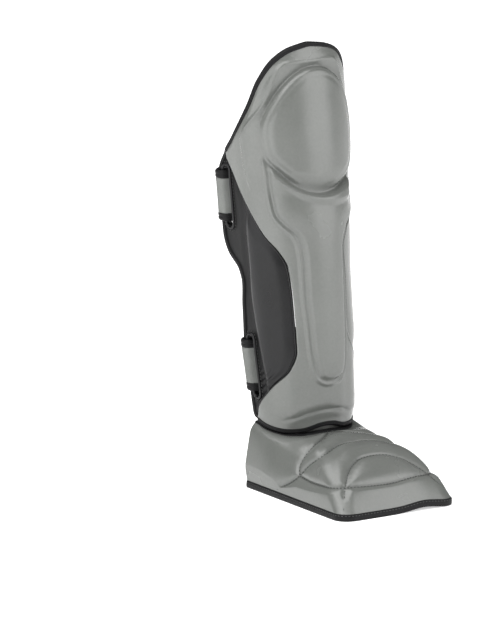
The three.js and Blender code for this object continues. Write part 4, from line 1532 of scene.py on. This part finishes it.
    def build_collar(self, binding: EdgeBinding) -> None:
        """Make the tape on the upper edge."""
        side = np.linspace(1, -1, self.collar_steps)
        face, back = (self.vault(side, 0 * side, filled) for filled in (True, False))
        mesh = Forge.sweep("collar_tape", binding.sections(face, back, self.collar_tape, False), False)
        dress(mesh, Finish.TAPE, "binding_tape", ["collar_binding"])

    def build_stitches(self) -> None:
        """Lay the dark thread along the quilting seams."""
        lines = []
        for flat in self.seam_plans():
            flat = flat[flat[:, 1] < 0.985]
            point = self.vault(flat[:, 0], flat[:, 1], True)
            normal = self.normal(flat[:, 0], flat[:, 1])
            lines.append((point + normal * 0.5, normal))
        thread = Forge.stitches("quilting_stitches", lines, Sewing.QUILT)
        dress(thread, Finish.DARK_THREAD, "shell_leather")

    def link(self, name: str, low_turn: float, high_turn: float, thick: float,
             finish: Finish, slot: str, stands_for: str) -> None:
        """Make a flat joint inside the ankle."""
        def at(out: float) -> Mapping:
            def place(i: Array, j: Array) -> Array:
                turn = lerp(low_turn, high_turn, i)
                level = lerp(self.collar_level(turn) - self.joint_lap, self.leg.hem_level(turn) + self.joint_lap, j)
                return self.leg.skin(turn, level, np.full(len(turn), out))
            return place
        inside = -(self.proud + self.gap)
        mesh = Forge.patch(name, 60, 40, at(inside), at(inside - thick),
                           flat=lambda i, j: np.stack([i * abs(high_turn - low_turn) * 0.8, j * 50], axis=1) * MM)
        dress(mesh, finish, slot, [stands_for])

    def build_joints(self) -> None:
        """Make the hinge tab and the corner elastics."""
        self.link("hinge_tab", -self.hinge_turn, self.hinge_turn, 2, Finish.GREY, "shell_leather", "ankle_hinge")
        near = self.leg.side_turn + 1 / self.leg.pace
        far = near + self.elastic_reach / self.leg.pace
        for name, sign in (("panel_side", -1), ("wing_side", 1)):
            self.link(f"corner_elastic_{name}", sign * near, sign * far, 1.8, Finish.TAPE, "binding_tape",
                      f"ankle_elastic_{name}")


# ---------------------------------------------------------------- studio

@dataclass
class Studio:
    """Floor, soft lights and the camera at the photograph's angle."""

    azimuth: float = -34
    elevation: float = 13
    distance: float = 14.0
    mm_per_pixel: float = 0.93
    image_height: int = 625
    sensor: float = 36
    origin_right: float = -46.5
    origin_up: float = 155.1
    clip_end: float = 60
    floor_reach: float = 20
    world_light: float = 0.08
    lamp_distance: float = 1.9
    lamp_aim: float = 0.2
    lamps: tuple[tuple[str, float, float, tuple[float, float], float], ...] = (
        ("left_box", -76, 22, (2.2, 2.0), 28),
        ("right_box", 33, 24, (1.6, 1.8), 26),
        ("top_box", -104, 74, (2.3, 2.3), 56),
    )

    def directions(self) -> tuple[Vector, Vector, Vector]:
        """Give the camera's backward, right and up directions."""
        back = self.toward(self.azimuth, self.elevation)
        a = math.radians(self.azimuth)
        right = Vector((math.cos(a), math.sin(a), 0))
        return back, right, back.cross(right)

    @staticmethod
    def toward(azimuth: float, elevation: float) -> Vector:
        """Give the direction at degrees round the guard's front and above the floor."""
        a, e = math.radians(azimuth), math.radians(elevation)
        return Vector((math.sin(a) * math.cos(e), -math.cos(a) * math.cos(e), math.sin(e)))

    def build(self) -> None:
        """Set up floor, lights and camera."""
        back, right, up = self.directions()
        target = Vector(Forge.metres(np.zeros(3))) + (right * self.origin_right + up * self.origin_up) * MM
        data = bpy.data.cameras.new("camera")
        data.sensor_width = self.sensor
        data.lens = self.sensor * self.distance / (self.image_height * self.mm_per_pixel * MM)
        data.clip_end = self.clip_end
        camera = bpy.data.objects.new("camera", data)
        camera.matrix_world = Matrix([[right[r], up[r], back[r], (target + back * self.distance)[r]]
                                      for r in range(3)] + [[0, 0, 0, 1]])
        bpy.context.scene.collection.objects.link(camera)
        bpy.context.scene.camera = camera
        bm = bmesh.new()
        bmesh.ops.create_grid(bm, x_segments=2, y_segments=2, size=self.floor_reach)
        floor = to_object(Forge.to_mesh("floor", bm), Finish.FLOOR)
        world = bpy.data.worlds.new("studio")
        world.use_nodes = True
        background = world.node_tree.nodes["Background"]
        background.inputs[0].default_value = (1, 1, 1, 1)
        background.inputs[1].default_value = self.world_light
        bpy.context.scene.world = world
        bpy.context.scene.view_settings.view_transform = "Standard"
        for lamp in self.lamps:
            self.softbox(*lamp)

    def softbox(self, name: str, azimuth: float, elevation: float, size: tuple[float, float], watts: float) -> None:
        """Hang a soft light aimed at the guard's middle.

        Args:
            name: name of the light.
            azimuth: degrees round the guard from its front.
            elevation: degrees above the floor.
            size: width and height in metres.
            watts: power.
        """
        data = bpy.data.lights.new(name, "AREA")
        data.shape = "RECTANGLE"
        data.size, data.size_y = size
        data.energy = watts
        place = self.lamp_distance * self.toward(azimuth, elevation)
        lamp = bpy.data.objects.new(name, data)
        lamp.visible_camera = False
        lamp.location = place + Vector((0, 0, self.lamp_aim))
        lamp.rotation_euler = (-place).to_track_quat("-Z", "Y").to_euler()
        bpy.context.scene.collection.objects.link(lamp)


def main() -> None:
    """Build the guard piece by piece and light it."""
    logging.basicConfig(level=logging.INFO, format="%(message)s")
    Forge.shift = rim_shift()
    leg = Leg()
    shell = ShinShell(leg)
    panel = BlackPanel(leg, leg.panel, "black_panel", "side_panel", Finish.BLACK, "panel_leather", 60, 330)
    wing = SidePiece(leg, leg.wing, "grey_wing", "side_wing", Finish.GREY, "shell_leather", 60, 330)
    slots = Slots(leg)
    binding = EdgeBinding(leg, shell, panel, wing)
    shell.build()
    black = panel.build()
    slots.cut(black)
    declare(black, panel.slot, [panel.node])
    declare(wing.build(), wing.slot, [wing.node])
    slots.build()
    binding.build()
    straps = Straps(leg, slots)
    straps.build()
    straps.sew(wing)
    Instep(leg).build(binding)
    Studio().build()


if __name__ == "__main__":
    main()
